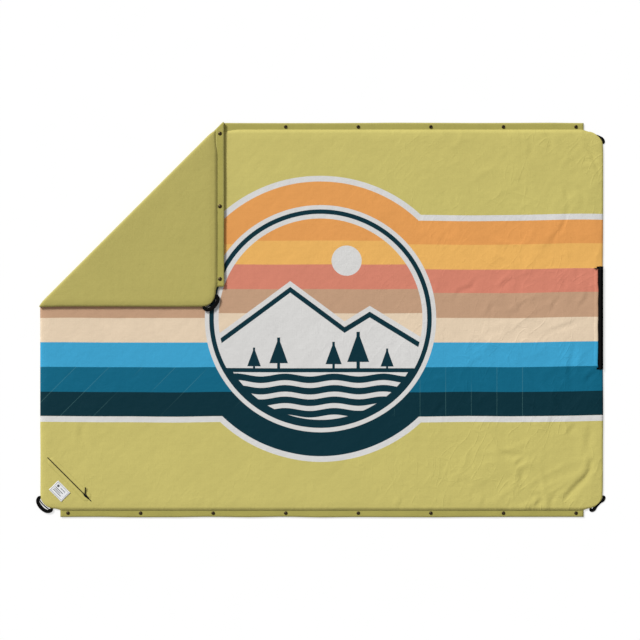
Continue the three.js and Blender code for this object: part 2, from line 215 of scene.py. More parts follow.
def rounded_strip(width, thickness, corners=3):
    """The section of a flat strap with rounded sides, as (side, up) points."""
    half, radius = width / 2 - thickness / 2, thickness / 2
    angles = np.linspace(-math.pi / 2, math.pi / 2, corners + 2)
    right = [(half + radius * math.cos(a), radius * math.sin(a)) for a in angles]
    left = [(-half - radius * math.cos(a), -radius * math.sin(a)) for a in angles]
    inner = [(half * k, radius) for k in (0.5, 0.0, -0.5)]
    under = [(half * k, -radius) for k in (-0.5, 0.0, 0.5)]
    return np.array(right + inner + left + under)


def swept(name, path, section, material, up=(0, 0, 1), roll=None):
    """A solid whose section, (side, up) points, is carried along a path and rolled about it."""
    path = np.array(path, float)
    tangent = np.gradient(path, axis=0)
    tangent /= np.linalg.norm(tangent, axis=1, keepdims=True)
    side = np.cross(tangent, np.array(up, float))
    side /= np.linalg.norm(side, axis=1, keepdims=True)
    over = np.cross(side, tangent)
    if roll is not None:
        c, s = np.cos(roll)[:, None], np.sin(roll)[:, None]
        side, over = side * c + over * s, over * c - side * s
    section = np.array(section, float)
    if section.ndim == 2:
        section = np.repeat(section[None], len(path), 0)
    points = (path[:, None] + side[:, None] * section[:, :, :1]
              + over[:, None] * section[:, :, 1:2])
    around = section.shape[1]
    faces = tube_faces(len(path), around)
    faces.append(tuple(range(around))[::-1])
    last = (len(path) - 1) * around
    faces.append(tuple(last + k for k in range(around)))
    run = np.concatenate([[0], np.cumsum(np.linalg.norm(np.diff(path, axis=0), axis=1))])
    flat = np.stack([np.repeat(run[:, None], around, 1), section[:, :, 0]], 2)
    return facing_out(make_mesh(name, points.reshape(-1, 3), faces, [material],
                                flat=flat.reshape(-1, 2)))


def lathe(name, profile, centre, way, material, segments=32):
    """A turned piece: (radius, height) points about a vertical axis, pointing up or down."""
    profile = np.array(profile, float) * MILLIMETRE
    angles = np.linspace(0, 2 * math.pi, segments, endpoint=False)
    points, faces, rings = [], [], []
    for radius, height in profile:
        if radius < 1e-9:
            rings.append([len(points)])
            points.append((centre[0], centre[1], centre[2] + way * height))
            continue
        rings.append(list(range(len(points), len(points) + segments)))
        for angle in angles:
            points.append((centre[0] + radius * math.cos(angle),
                           centre[1] + radius * math.sin(angle), centre[2] + way * height))
    pairs = list(zip(rings[:-1], rings[1:]))
    if len(rings[0]) > 1:
        pairs.append((rings[-1], rings[0]))
    for low, high in pairs:
        for k in range(segments):
            n = (k + 1) % segments
            if len(low) == 1 and len(high) == 1:
                break
            if len(low) == 1:
                faces.append((low[0], high[k], high[n]))
            elif len(high) == 1:
                faces.append((low[k], low[n], high[0]))
            else:
                faces.append((low[k], low[n], high[n], high[k]))
    return facing_out(make_mesh(name, points, faces, [material]))


# ---- shader nodes

STROKE_LENGTH, STROKE_GAP = 0.15, 0.045  # of the fine creases, along and across


class Value:
    """A number in a material's node tree that takes part in ordinary sums."""

    def __init__(self, net, socket):
        self.net, self.socket = net, socket

    def __add__(self, other):
        return self.net.math("ADD", self, other)

    def __sub__(self, other):
        return self.net.math("SUBTRACT", self, other)

    def __rsub__(self, other):
        return self.net.math("SUBTRACT", other, self)

    def __mul__(self, other):
        return self.net.math("MULTIPLY", self, other)

    def __truediv__(self, other):
        return self.net.math("DIVIDE", self, other)

    __radd__, __rmul__ = __add__, __mul__

    def size(self):
        return self.net.math("ABSOLUTE", self)


class Net:
    """One procedural material."""

    def __init__(self, name, roughness, metallic=0.0, specular=0.35):
        self.material = bpy.data.materials.new(name)
        self.material.use_nodes = True
        self.tree = self.material.node_tree
        self.shader = self.tree.nodes["Principled BSDF"]
        self.shader.inputs["Roughness"].default_value = roughness
        self.shader.inputs["Metallic"].default_value = metallic
        self.shader.inputs["Specular IOR Level"].default_value = specular

    def put(self, socket, value):
        if isinstance(value, Value):
            self.tree.links.new(value.socket, socket)
        elif isinstance(value, bpy.types.NodeSocket):
            self.tree.links.new(value, socket)
        elif isinstance(value, tuple) and len(value) == 3 and socket.type == "RGBA":
            socket.default_value = (*value, 1.0)
        else:
            socket.default_value = value

    def math(self, operation, *values):
        node = self.tree.nodes.new("ShaderNodeMath")
        node.operation = operation
        for socket, value in zip(node.inputs, values):
            self.put(socket, value)
        return Value(self, node.outputs[0])

    def least(self, *values):
        found = values[0]
        for value in values[1:]:
            found = self.math("MINIMUM", found, value)
        return found

    def most(self, *values):
        found = values[0]
        for value in values[1:]:
            found = self.math("MAXIMUM", found, value)
        return found

    def fill(self, depth, edge=0.0012):
        """1 inside a shape and 0 outside, from how deep inside it a point is."""
        node = self.tree.nodes.new("ShaderNodeMath")
        node.operation, node.use_clamp = "MULTIPLY_ADD", True
        self.put(node.inputs[0], depth)
        node.inputs[1].default_value, node.inputs[2].default_value = 1 / edge, 0.5
        return Value(self, node.outputs[0])

    def band(self, value, low, high):
        return self.least(value - low, high - value)

    def mix(self, factor, low, high, kind="MIX"):
        """One colour over another."""
        node = self.tree.nodes.new("ShaderNodeMix")
        node.data_type, node.blend_type = "RGBA", kind
        self.put(node.inputs[0], factor)
        self.put(node.inputs[6], low)
        self.put(node.inputs[7], high)
        return node.outputs[2]

    def place(self):
        """The cloth's flat place in metres."""
        node = self.tree.nodes.new("ShaderNodeUVMap")
        node.uv_map = "flat"
        parts = self.tree.nodes.new("ShaderNodeSeparateXYZ")
        self.tree.links.new(node.outputs[0], parts.inputs[0])
        self.flat = node.outputs[0]
        return Value(self, parts.outputs[0]), Value(self, parts.outputs[1])

    def space(self):
        """The piece's own coordinates in metres."""
        node = self.tree.nodes.new("ShaderNodeTexCoord")
        parts = self.tree.nodes.new("ShaderNodeSeparateXYZ")
        self.tree.links.new(node.outputs["Object"], parts.inputs[0])
        self.flat = node.outputs["Object"]
        return [Value(self, parts.outputs[i]) for i in range(3)]

    def speckle(self, scale, detail=3.0, roughness=0.6):
        node = self.tree.nodes.new("ShaderNodeTexNoise")
        self.tree.links.new(self.flat, node.inputs["Vector"])
        node.inputs["Scale"].default_value = scale
        node.inputs["Detail"].default_value = detail
        node.inputs["Roughness"].default_value = roughness
        return Value(self, node.outputs["Fac"])

    def strokes(self, x, y, degrees, offset):
        """Short, nearly straight creases that run one way: crests of a drawn-out noise."""
        turn = math.radians(degrees)
        along = (x * math.cos(turn) + y * math.sin(turn)) * (1 / STROKE_LENGTH) + offset
        across = (y * math.cos(turn) - x * math.sin(turn)) * (1 / STROKE_GAP)
        across = across + self.speckle(3.5, 1.0) * 3.5
        spot = self.tree.nodes.new("ShaderNodeCombineXYZ")
        self.put(spot.inputs[0], along)
        self.put(spot.inputs[1], across)
        node = self.tree.nodes.new("ShaderNodeTexNoise")
        self.tree.links.new(spot.outputs[0], node.inputs["Vector"])
        node.inputs["Scale"].default_value = 1.0
        node.inputs["Detail"].default_value = 1.0
        crest = self.most(1.0 - (Value(self, node.outputs["Fac"]) - 0.5).size() * 16, 0.0)
        return crest * crest

    def wave(self, value, pitch):
        """A sine of that pitch, -1 to 1."""
        return self.math("SINE", value * (2 * math.pi / pitch))

    def grey(self, value):
        """A colour with that value in all three channels."""
        node = self.tree.nodes.new("ShaderNodeCombineColor")
        for socket in node.inputs:
            self.put(socket, value)
        return node.outputs[0]

    def paint(self, colour, shade=None):
        """The surface's colour, made lighter or darker by a shade where one is given."""
        if shade is not None:
            colour = self.mix(1.0, colour, self.grey(shade), "MULTIPLY")
        self.put(self.shader.inputs["Base Color"], colour)

    def bump(self, height, distance, strength=1.0):
        node = self.tree.nodes.new("ShaderNodeBump")
        self.put(node.inputs["Height"], height)
        node.inputs["Distance"].default_value = distance
        node.inputs["Strength"].default_value = strength
        self.tree.links.new(node.outputs[0], self.shader.inputs["Normal"])

    def rough(self, value):
        self.put(self.shader.inputs["Roughness"], value)


def seen(red, green, blue, level=LIGHT_LEVEL):
    """A colour by its everyday 0 to 255 values, as a surface colour under this light."""

    def linear(value):
        value /= 255
        low = value <= 0.04045
        value = (value / 12.92 if low else ((value + 0.055) / 1.055) ** 2.4) / level
        return max(value - HAZE, 0.0006)

    return linear(red), linear(green), linear(blue)


OLIVE = seen(198, 187, 110)
OLIVE_BACK = seen(180, 170, 98)
OLIVE_TAPE = seen(171, 163, 88)
ORANGE, AMBER, SALMON = seen(226, 157, 88), seen(232, 178, 98), seen(211, 132, 110)
TAN, CREAM = seen(192, 155, 126), seen(226, 205, 178)
SKY, SEA, DEEP = seen(63, 160, 202), seen(21, 100, 128), seen(15, 50, 60)
CHALK = seen(214, 213, 211)
BLACK = seen(16, 15, 14)
THREAD = seen(120, 172, 166)

# The print's levels on the flat cloth, from the far edge down.
SKY_STRIPES = ((0.3433, ORANGE), (0.2610, AMBER), (0.1749, SALMON), (0.0933, TAN),
               (0.0069, CREAM), (-0.0778, SKY), (-0.1632, SEA), (-0.2493, DEEP))
DISC_STRIPES = ((0.2741, AMBER), (0.1919, SALMON), (0.1068, TAN), (0.0235, CREAM))
PIPING_FAR, PIPING_NEAR, PIPING_WIDTH = 0.3430, -0.3336, 0.0200
DISC_X, DISC_Y, DISC_STRETCH = -0.0052, 0.0045, 0.0095
RING_OUTER, RING_DARK, RING_LIGHT, RING_INNER = 0.3962, 0.3810, 0.3654, 0.3492
ARCH_OUTER, ARCH_INNER, ARCH_OVERLAP = 0.4990, 0.4792, 0.0015
# The plain landscape inside the ring: a sun, two hills, a row of cone trees and water lines.
SUN_X, SUN_Y, SUN_RADIUS = 0.085, 0.205, 0.052
HILL_LINE, HILL_HALO = 0.0100, 0.0200
HILLS = ((-0.110, 0.105, 0.74), (0.165, 0.020, 0.62))  # sideways, height, slope
GROUND_TOP, GROUND_BOTTOM = -0.1666, -0.1808
WATER_PITCH, WATER_LINE, WATER_SWELL, WATER_LENGTH = 0.0397, 0.0170, 0.0050, 0.170
WATER_START, WATER_RADIUS = 0.2216, 0.3530
TREES = ((-0.235, -0.095, 0.62), (-0.150, -0.060, 0.85), (0.040, -0.075, 0.74),
         (0.125, -0.040, 1.0), (0.225, -0.098, 0.60))  # sideways, tip, size
TREE_HEIGHT, TREE_HALF, TRUNK_HALF = 0.105, 0.038, 0.0060
QUILT_EDGE, QUILT_PITCH, QUILT_SLANT_PITCH = 0.2503, 0.0886, 0.0810
THREAD_FAR, THREAD_RIGHT = -0.1632, 0.70  # the pale quilting thread shows nearer and left of these
STITCH_PITCH, STITCH_LENGTH, THREAD_HALF = 0.0042, 0.0030, 0.0006
RIPSTOP_HALF, RIPSTOP_THREAD, WEAVE = 0.0030, 0.0004, 0.0011


def tree_depth(net, side, y, tip, size):
    """How deep inside a plain cone tree a point is."""
    foot = tip - TREE_HEIGHT * size
    cone = net.least(y - foot, (tip - y) * (TREE_HALF / TREE_HEIGHT) - side)
    trunk = net.least(TRUNK_HALF * size - side, tip - y)
    return net.most(cone, trunk)


def printed_colour(net, x, y):
    """The print: stripes, and a ringed disc with a plain landscape in it."""
    colour = OLIVE
    for level, stripe in SKY_STRIPES:
        colour = net.mix(net.fill(level - y), colour, stripe)
    colour = net.mix(net.fill(PIPING_NEAR - y), colour, OLIVE)
    u = (x - DISC_X) * (1 / (1 + DISC_STRETCH))
    v = (y - DISC_Y) * (1 / (1 - DISC_STRETCH))
    radius = net.math("SQRT", u * u + v * v)
    beyond = net.most(y - PIPING_FAR, PIPING_NEAR - y)
    arch = net.least(ARCH_OUTER - radius, beyond)
    piping = net.most(arch, net.least(beyond, PIPING_WIDTH - beyond))
    colour = net.mix(net.fill(piping), colour, CHALK)
    arch = net.least(ARCH_INNER - radius, beyond + ARCH_OVERLAP)
    arch_colour = net.mix(net.fill(y), DEEP, ORANGE)
    colour = net.mix(net.fill(arch), colour, arch_colour)
    colour = net.mix(net.fill(RING_OUTER - radius), colour, CHALK)
    colour = net.mix(net.fill(RING_DARK - radius), colour, DEEP)

    inside = ORANGE
    for level, stripe in DISC_STRIPES:
        inside = net.mix(net.fill(level - y), inside, stripe)
    sun_x, sun_y = x - SUN_X, y - SUN_Y
    sun = SUN_RADIUS - net.math("SQRT", sun_x * sun_x + sun_y * sun_y)
    inside = net.mix(net.fill(sun), inside, CHALK)
    ridge = None
    for side, height, slope in HILLS:
        hill = height - (x - side).size() * slope
        ridge = hill if ridge is None else net.most(ridge, hill)
    over = y - ridge
    inside = net.mix(net.fill((HILL_LINE + HILL_HALO) - over), inside, CHALK)
    inside = net.mix(net.fill(HILL_LINE - over.size()), inside, DEEP)
    for side, tip, size in TREES:
        depth = tree_depth(net, (x - side).size(), y, tip, size)
        inside = net.mix(net.fill(depth), inside, DEEP)
    inside = net.mix(net.fill(RING_LIGHT - radius), CHALK, inside)
    inside = net.mix(net.fill(RING_INNER - radius), CHALK, inside)
    inside = net.mix(net.fill(GROUND_TOP - y), inside, DEEP)
    swing = net.wave(x, WATER_LENGTH) * WATER_SWELL
    row = net.math("WRAP", y - swing + WATER_START + WATER_LINE / 2, WATER_PITCH, 0.0)
    water = net.least(net.band(row, 0.0, WATER_LINE), GROUND_BOTTOM - y, WATER_RADIUS - radius)
    inside = net.mix(net.fill(water), inside, CHALK)
    return net.mix(net.fill(RING_LIGHT - radius), colour, inside)


def quilt_distance(net, x, y):
    """How far a point is from the nearest line of quilting."""
    right = net.math("PINGPONG", x - QUILT_EDGE, QUILT_PITCH / 2)
    slant = net.math("PINGPONG", (x - y) * ROOT_HALF, QUILT_SLANT_PITCH / 2)
    past = net.math("GREATER_THAN", x, QUILT_EDGE - 0.001)
    return right * past + slant * (1 - past)


def weave_height(net, x, y, pitch):
    """A plain weave, -1 to 1: threads over and under each other."""
    return net.wave(x, pitch) * net.wave(y, pitch)


def ripstop(net, x, y):
    """The raised grid of heavier threads in a ripstop cloth."""
    gap_x = net.math("PINGPONG", x, RIPSTOP_HALF)
    gap_y = net.math("PINGPONG", y, RIPSTOP_HALF)
    return net.fill(RIPSTOP_THREAD - net.least(gap_x, gap_y), RIPSTOP_THREAD)


SOIL_AND_CREASE_SHADE = 0.06  # how unevenly the cloth is coloured, and how much painted shade darkens the low places of its fine crumples


def cloth_finish(net, x, y, colour):
    """Weave, ripstop, soiling, fine creases with painted shade in their low places, and the
    roughness that goes with them.
    """
    grid = ripstop(net, x, y)
    weave = weave_height(net, x, y, WEAVE) * 0.5 + 0.5
    cloud = net.speckle(5.0, 4.0)
    crumple = net.speckle(34.0, 5.0, 0.65)
    amount = net.fill(x - 0.30, 0.9) * 0.75 + net.fill(-0.45 - y, 0.35) * 0.35 + 0.15
    strokes = net.most(net.strokes(x, y, 62, 0.0), net.strokes(x, y, -48, 7.0))
    pleat = strokes * amount * net.fill(cloud - 0.49, 0.12)
    # painted shade: the crumple term darkens the colour where the crumple bump below is low, as in
    # folds; the cloud term is soiling
    shade = (cloud - 0.5) * SOIL_AND_CREASE_SHADE * 2 + 1.0 + (crumple - 0.5) * SOIL_AND_CREASE_SHADE + grid * -0.02
    net.paint(colour, shade)
    net.rough((crumple - 0.5) * 0.25 + 0.62 + grid * -0.06)
    net.bump(weave * 0.08 + grid * 0.12 + crumple * 1.9 + cloud * 1.0 + pleat * 0.7, 0.0010, 0.85)


def face_material():
    net = Net("printed_ripstop", 0.6, specular=0.10)
    x, y = net.place()
    colour = printed_colour(net, x, y)
    stitch = net.band(net.math("WRAP", x + y, STITCH_PITCH, 0.0), 0.0, STITCH_LENGTH)
    line = net.least(THREAD_HALF - quilt_distance(net, x, y), stitch)
    shows = net.fill(net.math("SQRT", x * x + y * y) - RING_OUTER) * net.fill(THREAD_FAR - y)
    shows = shows * net.fill(y - PIPING_NEAR) * net.fill(THREAD_RIGHT - x)
    shows = shows * net.fill(net.speckle(4.0, 0.0) - 0.46, 0.12)
    colour = net.mix(net.fill(line, THREAD_HALF) * shows * 0.32, colour, THREAD)
    beside = (x - ZIP_MIDDLE[0] + y - ZIP_MIDDLE[1]) * ROOT_HALF + ZIP_STITCH
    run = (x - ZIP_MIDDLE[0] - y + ZIP_MIDDLE[1]) * ROOT_HALF
    seam = net.least(0.0009 - beside.size(), ZIP_HALF - run.size())
    colour = net.mix(net.fill(seam, 0.0008) * 0.28, colour, OLIVE_TAPE)
    cloth_finish(net, x, y, colour)
    return net.material


def back_material():
    net = Net("olive_back_cloth", 0.6, specular=0.12)
    x, y = net.place()
    cloth_finish(net, x, y, OLIVE_BACK)
    return net.material


def tape_material():
    net = Net("olive_snap_tape", 0.7, specular=0.15)
    x, y = net.place()
    inset = TAPE_EDGE - y.size()
    rows = net.most(0.0006 - (inset - 0.0035).size(), 0.0006 - (inset - 0.0265).size())
    stitch = net.least(rows, net.band(net.math("WRAP", x, 0.0040, 0.0), 0.0, 0.0028))
    thread = net.fill(stitch, 0.0006)
    colour = net.mix(thread, OLIVE_TAPE, seen(205, 197, 130))
    rib = net.wave(x, 0.0016)
    cloud = net.speckle(16.0, 4.0)
    shade = (cloud - 0.5) * 0.22 + 1.0
    net.paint(colour, shade)
    net.rough((cloud - 0.5) * 0.2 + 0.7)
    net.bump(rib * 0.2 + cloud * 1.0 + thread * 0.4, 0.0008, 0.8)
    return net.material


def webbing_material():
    net = Net("black_webbing", 0.8, specular=0.06)
    x, y = net.place()
    rib = net.wave(y, 0.0022)
    herring = net.wave(x + y.size(), 0.0018)
    dust = net.speckle(60.0, 4.0)
    net.paint(net.grey(dust * 0.005 + 0.0008))
    net.rough((dust - 0.5) * 0.2 + 0.72)
    net.bump(rib * 0.3 + herring * 0.25 + dust * 0.2, 0.0006)
    return net.material


def plain_cloth(name, colour, pitch, roughness=0.75, specular=0.15):
    """A small woven piece with its weave, a little unevenness, and its own roughness."""
    net = Net(name, roughness, specular=specular)
    x, y, _ = net.space()
    weave = weave_height(net, x, y, pitch)
    cloud = net.speckle(90.0, 3.0)
    shade = (cloud - 0.5) * 0.5 + 1.0 + weave * 0.05
    net.paint(colour, shade)
    net.rough((cloud - 0.5) * 0.2 + roughness)
    net.bump(weave * 0.4 + cloud * 0.5, 0.0005)
    return net.material


def metal(name, colour, roughness):
    """Aged metal: polished where it rubs, darker in its hollows."""
    net = Net(name, roughness, metallic=1.0, specular=0.5)
    net.space()
    patina = net.speckle(700.0, 4.0)
    broad = net.speckle(90.0, 2.0)
    worn = net.mix(patina, tuple(c * 0.55 for c in colour), tuple(c * 1.6 for c in colour))
    net.paint(worn)
    net.rough((broad - 0.5) * 0.35 + roughness)
    net.bump(patina, 0.00015, 0.7)
    return net.material


def coil_material():
    net = Net("black_zip_coil", 0.45, specular=0.22)
    net.space()
    dust = net.speckle(300.0, 2.0)
    net.paint(net.grey(dust * 0.006 + 0.003))
    net.rough(dust * 0.2 + 0.3)
    net.bump(dust, 0.0002, 0.4)
    return net.material


PRINTED, PLAIN = face_material(), back_material()
TAPE, WEBBING = tape_material(), webbing_material()
BRONZE = metal("antique_bronze", (0.060, 0.045, 0.024), 0.42)
BLACK_METAL = metal("black_slider_metal", (0.03, 0.03, 0.032), 0.35)
ZIP_TAPE = plain_cloth("black_zip_tape", BLACK, 0.0011, specular=0.04)
COIL = coil_material()
LINING = plain_cloth("grey_lining", seen(92, 92, 90), 0.0013)
PULL_CLOTH = plain_cloth("black_puller_cord", BLACK, 0.0016, 0.6)


# ---- the blanket's cloth

LABEL_MIDDLE, LABEL_HALF_LENGTH, LABEL_HALF_WIDTH = (-0.907, -0.5915), 0.030, 0.0225
EDGE_ZIP_X, EDGE_ZIP_MIDDLE, EDGE_ZIP_HALF = 0.961, (0.187 - 0.173) / 2, 0.180


def zip_place(x, y):
    """Along and across the corner pocket's zip, from its middle."""
    dx, dy = x - ZIP_MIDDLE[0], y - ZIP_MIDDLE[1]
    return dx * ROOT_HALF - dy * ROOT_HALF, dx * ROOT_HALF + dy * ROOT_HALF


def box_distance(a, b, half_a, half_b):
    """How far a place is outside a box about the origin."""
    return np.hypot(np.maximum(np.abs(a) - half_a, 0), np.maximum(np.abs(b) - half_b, 0))


def edge_zip_distance(x, y):
    """How far a flat place is outside the edge pocket's zip."""
    return box_distance(x - EDGE_ZIP_X, y - EDGE_ZIP_MIDDLE, 0.010, EDGE_ZIP_HALF)


def line_distance(value, pitch):
    """How far a value is from the nearest whole number of pitches."""
    return np.abs((value + pitch / 2) % pitch - pitch / 2)


# The larger creases: where each runs, how wide it is and how high, in metres. Each is a crest
# with a deeper trough on the left of its run, which is the side away from the light.
CREASES = (
    ([(0.926, -0.479), (0.919, -0.514), (0.902, -0.543), (0.862, -0.583), (0.823, -0.627)],
     0.0095, 0.0032),
    ([(0.926, -0.350), (0.912, -0.415), (0.909, -0.464)], 0.0120, 0.0010),
    ([(0.872, -0.360), (0.842, -0.395)], 0.0090, 0.0009),
    ([(0.714, -0.464), (0.645, -0.459), (0.600, -0.440)], 0.0085, 0.0010),
    ([(0.694, -0.474), (0.664, -0.501), (0.610, -0.504)], 0.0090, 0.0010),
    ([(0.688, -0.504), (0.680, -0.543), (0.670, -0.583)], 0.0110, 0.0009),
    ([(0.757, -0.600), (0.735, -0.650)], 0.0080, 0.0013),
    ([(0.800, -0.600), (0.778, -0.650)], 0.0075, 0.0013),
    ([(0.560, -0.605), (0.548, -0.650)], 0.0080, 0.0008),
    ([(0.272, -0.610), (0.262, -0.650)], 0.0080, 0.0008),
    ([(0.907, 0.605), (0.929, 0.570), (0.947, 0.519), (0.962, 0.478)], 0.0080, 0.0013),
    ([(0.846, 0.395), (0.837, 0.349), (0.823, 0.318), (0.792, 0.285), (0.790, 0.250)],
     0.0070, 0.0014),
    ([(0.832, 0.460), (0.846, 0.395)], 0.0080, 0.0009),
    ([(0.875, 0.460), (0.904, 0.401)], 0.0085, 0.0009),
    ([(0.749, 0.650), (0.778, 0.624), (0.788, 0.585)], 0.0080, 0.0011),
    ([(0.595, 0.645), (0.628, 0.605)], 0.0085, 0.0009),
    ([(0.711, 0.609), (0.716, 0.557)], 0.0110, 0.0008),
    ([(0.535, 0.153), (0.512, 0.118), (0.470, 0.104), (0.453, 0.069)], 0.0070, 0.0009),
    ([(0.660, 0.150), (0.626, 0.132), (0.608, 0.105)], 0.0070, 0.0009),
    ([(0.875, 0.175), (0.878, 0.130)], 0.0070, 0.0009),
    ([(0.831, 0.150), (0.833, 0.105)], 0.0070, 0.0008),
    ([(0.584, 0.066), (0.572, 0.022)], 0.0065, 0.0008),
    ([(0.683, 0.070), (0.671, 0.022)], 0.0065, 0.0009),
    ([(0.826, 0.085), (0.799, 0.059), (0.783, 0.022)], 0.0070, 0.0010),
    ([(0.915, 0.115), (0.912, 0.076), (0.880, 0.040)], 0.0070, 0.0010),
    ([(0.892, 0.003), (0.850, -0.017), (0.811, -0.028), (0.747, -0.054)], 0.0080, 0.0009),
    ([(0.868, -0.080), (0.850, -0.161), (0.854, -0.238)], 0.0105, 0.0012),
    ([(0.702, -0.178), (0.729, -0.213), (0.766, -0.252)], 0.0075, 0.0012),
    ([(0.955, -0.178), (0.926, -0.190), (0.905, -0.222)], 0.0070, 0.0011),
    ([(0.800, -0.270), (0.830, -0.320)], 0.0080, 0.0010),
    ([(0.420, -0.280), (0.385, -0.325)], 0.0080, 0.0009),
    ([(-0.833, -0.356), (-0.845, -0.404), (-0.815, -0.450)], 0.0110, 0.0008),
    ([(-0.740, -0.015), (-0.768, 0.018)], 0.0080, 0.0007),
    ([(-0.690, -0.005), (-0.730, 0.022)], 0.0080, 0.0007),
    ([(-0.560, -0.010), (-0.600, 0.015)], 0.0080, 0.0006),
    ([(-0.620, 0.010), (-0.655, 0.040)], 0.0080, 0.0006),
)
# Of a crease: its gain, its crest's height, its trough's depth and half the way between the two.
CREASE_GAIN, CREST, TROUGH, SPLIT = 1.3, 0.8, 1.5, 0.85


def ridged(x, y, scale, seed, sharpness):
    """Creases: sharp crests along the zero lines of a noise that is itself bent by another."""
    bend = 0.7 * noise(x / (2.4 * scale) + 3, y / (2.4 * scale) + 5, seed + 50)
    value = noise(x / scale + bend, y / scale - 1.3 * bend + 7, seed)
    return (1 - np.abs(value)) ** sharpness


def disturbed(x, y):
    """How rumpled each place is: most at the right and the near right, least in the middle."""
    drift = 0.10 * noise(x / 0.22 + 2, y / 0.22 + 2, 13)
    right = smooth(0.15, 0.72, x + drift)
    near = smooth(-0.34, -0.52, y + drift) * smooth(-0.35, 0.35, x)
    under_flap = 0.6 * np.exp(-(((x + 0.70) / 0.16) ** 2) - ((y / 0.035) ** 2))
    left = 0.35 * np.exp(-(((x + 0.80) / 0.16) ** 2) - (((y + 0.30) / 0.20) ** 2))
    return np.clip(0.10 + 0.75 * right + 0.45 * near + under_flap + left, 0, 1.2)


def drift(x, y):
    """How far the rumpled cloth has moved along y from where it would lie if it were flat."""
    free = smooth(HALF_WIDTH - 0.03, HALF_WIDTH - 0.20, np.abs(y))
    free = free * smooth(0.02, 0.10, np.abs(past_line(x, y)))
    bow = 0.0045 * smooth(0.62, 0.97, x) + 0.0016 * smooth(-0.70, -0.97, x)
    return free * (bow + 0.0014 * noise(x / 0.17 + 2, y / 0.30 + 6, 62))


def face_relief(x, y):
    """How the printed face rises and falls: loft, quilting, rumples and creases."""
    rumpled = disturbed(x, y)
    lumps = noise(x / 0.16 + 9, y / 0.16 + 9, 11) * 0.35 + noise(x / 0.07, y / 0.07, 12) * 0.30
    lean, run = x * 0.88 + y * 0.47, y * 0.88 - x * 0.47
    patches = smooth(-0.35, 0.65, noise(x / 0.11, y / 0.11, 16))
    folds = (ridged(lean, run * 0.55, 0.085, 14, 9) * 1.5
             + ridged(run, lean * 0.6, 0.055, 15, 8) * 1.0
             + ridged(x, y, 0.045, 18, 4) * 0.4) - 0.42
    total = lumps * (0.5 + rumpled) + folds * rumpled * (0.35 + 0.9 * patches) * 1.5
    total = total - 0.75 * np.clip(rumpled, 0, 1)
    quilt = np.where(x > QUILT_EDGE, line_distance(x - QUILT_EDGE, QUILT_PITCH),
                     line_distance((x - y) * ROOT_HALF, QUILT_SLANT_PITCH))
    total = total - 0.30 * np.exp(-((quilt / 0.011) ** 2))
    total *= MILLIMETRE
    for points, width, height in CREASES:
        distance, along = distance_to_path(x, y, points)
        taper = np.sin(np.pi * along) ** 0.7
        crest = CREST * np.exp(-((distance / width + SPLIT) ** 2))
        trough = TROUGH * np.exp(-((distance / width - SPLIT) ** 2))
        total = total + CREASE_GAIN * height * taper * (crest - trough)
    rim = np.exp(-((edge_distance(x, y) - 0.020) / 0.020) ** 2)
    pucker = noise(x / 0.030, y / 0.10, 17) * (0.35 + 0.65 * np.clip(rumpled, 0, 1))
    total = total + 0.0010 * rim * pucker
    along, across = zip_place(x, y)
    calm = smooth(0.0, 0.03, box_distance(along, across, ZIP_HALF, 0.008))
    label = box_distance(x - LABEL_MIDDLE[0], y - LABEL_MIDDLE[1], 0.03, 0.03)
    calm = calm * smooth(0.0, 0.03, label)
    calm = calm * smooth(0.0, 0.02, edge_zip_distance(x, y))
    fold = np.abs(past_line(x, y))
    return total * calm * smooth(0.018, 0.06, fold)


FACE_LOWEST, FACE_HIGHEST, GROOVE_LEVEL = 0.0038, 0.01005, 0.0078


def loft(x, y):
    """From 0 at the seam to 1 where the filling is full."""
    inside = np.clip(edge_distance(x, y) / 0.026, 0, 1)
    return 1 - (1 - inside) ** 2.2


def over_tape(x, y):
    """How far the edge rolls over its tape: 1 along the long edges, 0 at corners and fold."""
    fold = np.abs(past_line(x, y))
    side = smooth(0.012, 0.0, HALF_WIDTH - np.abs(y)) * smooth(0.925, 0.895, np.abs(x))
    return side * smooth(0.02, 0.06, fold)


def turned_up(x, y):
    """1 on the corner that is turned over."""
    return smooth(0.0, 0.03, past_line(x, y))


def tape_roll(x, y):
    """The roll over a tape, upward where the cloth lies flat and downward where it is turned."""
    return over_tape(x, y) * (1 - 2 * turned_up(x, y))


def face_height(x, y):
    """The printed face's height over the floor where the blanket lies flat."""
    rise = loft(x, y)
    roll = tape_roll(x, y)
    base = SEAM + 0.0008 + 0.0030 * rise + np.where(roll > 0, 0.0011, 0.0018) * roll
    height = base + face_relief(x, y) * np.clip(rise * 1.3, 0.2, 1)
    along, across = zip_place(x, y)
    groove = 1 - smooth(0.002, 0.010, box_distance(along, across, ZIP_HALF - 0.014, 0.003))
    groove = np.maximum(groove, 1 - smooth(0.001, 0.008, edge_zip_distance(x, y)))
    height = height * (1 - groove) + np.minimum(height, GROOVE_LEVEL) * groove
    return np.clip(height, FACE_LOWEST, FACE_HIGHEST)


def back_height(x, y):
    """The plain back's height over the floor: flat where it rests, softer where it is turned up."""
    rise = loft(x, y)
    roll = tape_roll(x, y)
    raised = smooth(0.02, 0.07, past_line(x, y))
    soft = 0.5 + 0.5 * noise(x / 0.14, y / 0.14, 21) + 0.25 * noise(x / 0.05, y / 0.05, 22)
    base = (SEAM - 0.0008) * (1 - rise) + raised * 0.0008 * np.clip(soft, 0, 1.4)
    base = base + np.where(roll > 0, 0.0018, 0.0011) * roll
    out = (np.abs(x) - HALF_LENGTH + CORNER + np.abs(y) - HALF_WIDTH + CORNER) * ROOT_HALF
    tucked = smooth(0.028, 0.036, out) * (x > 0)
    return np.maximum(base, 0.0028 * tucked)


def folded(flat_x, flat_y, height):
    """Where a point of the flat cloth goes when its corner is turned over."""
    return flat_y - FOLD_OFFSET, flat_x + FOLD_OFFSET, 2 * FOLD_HEIGHT - height


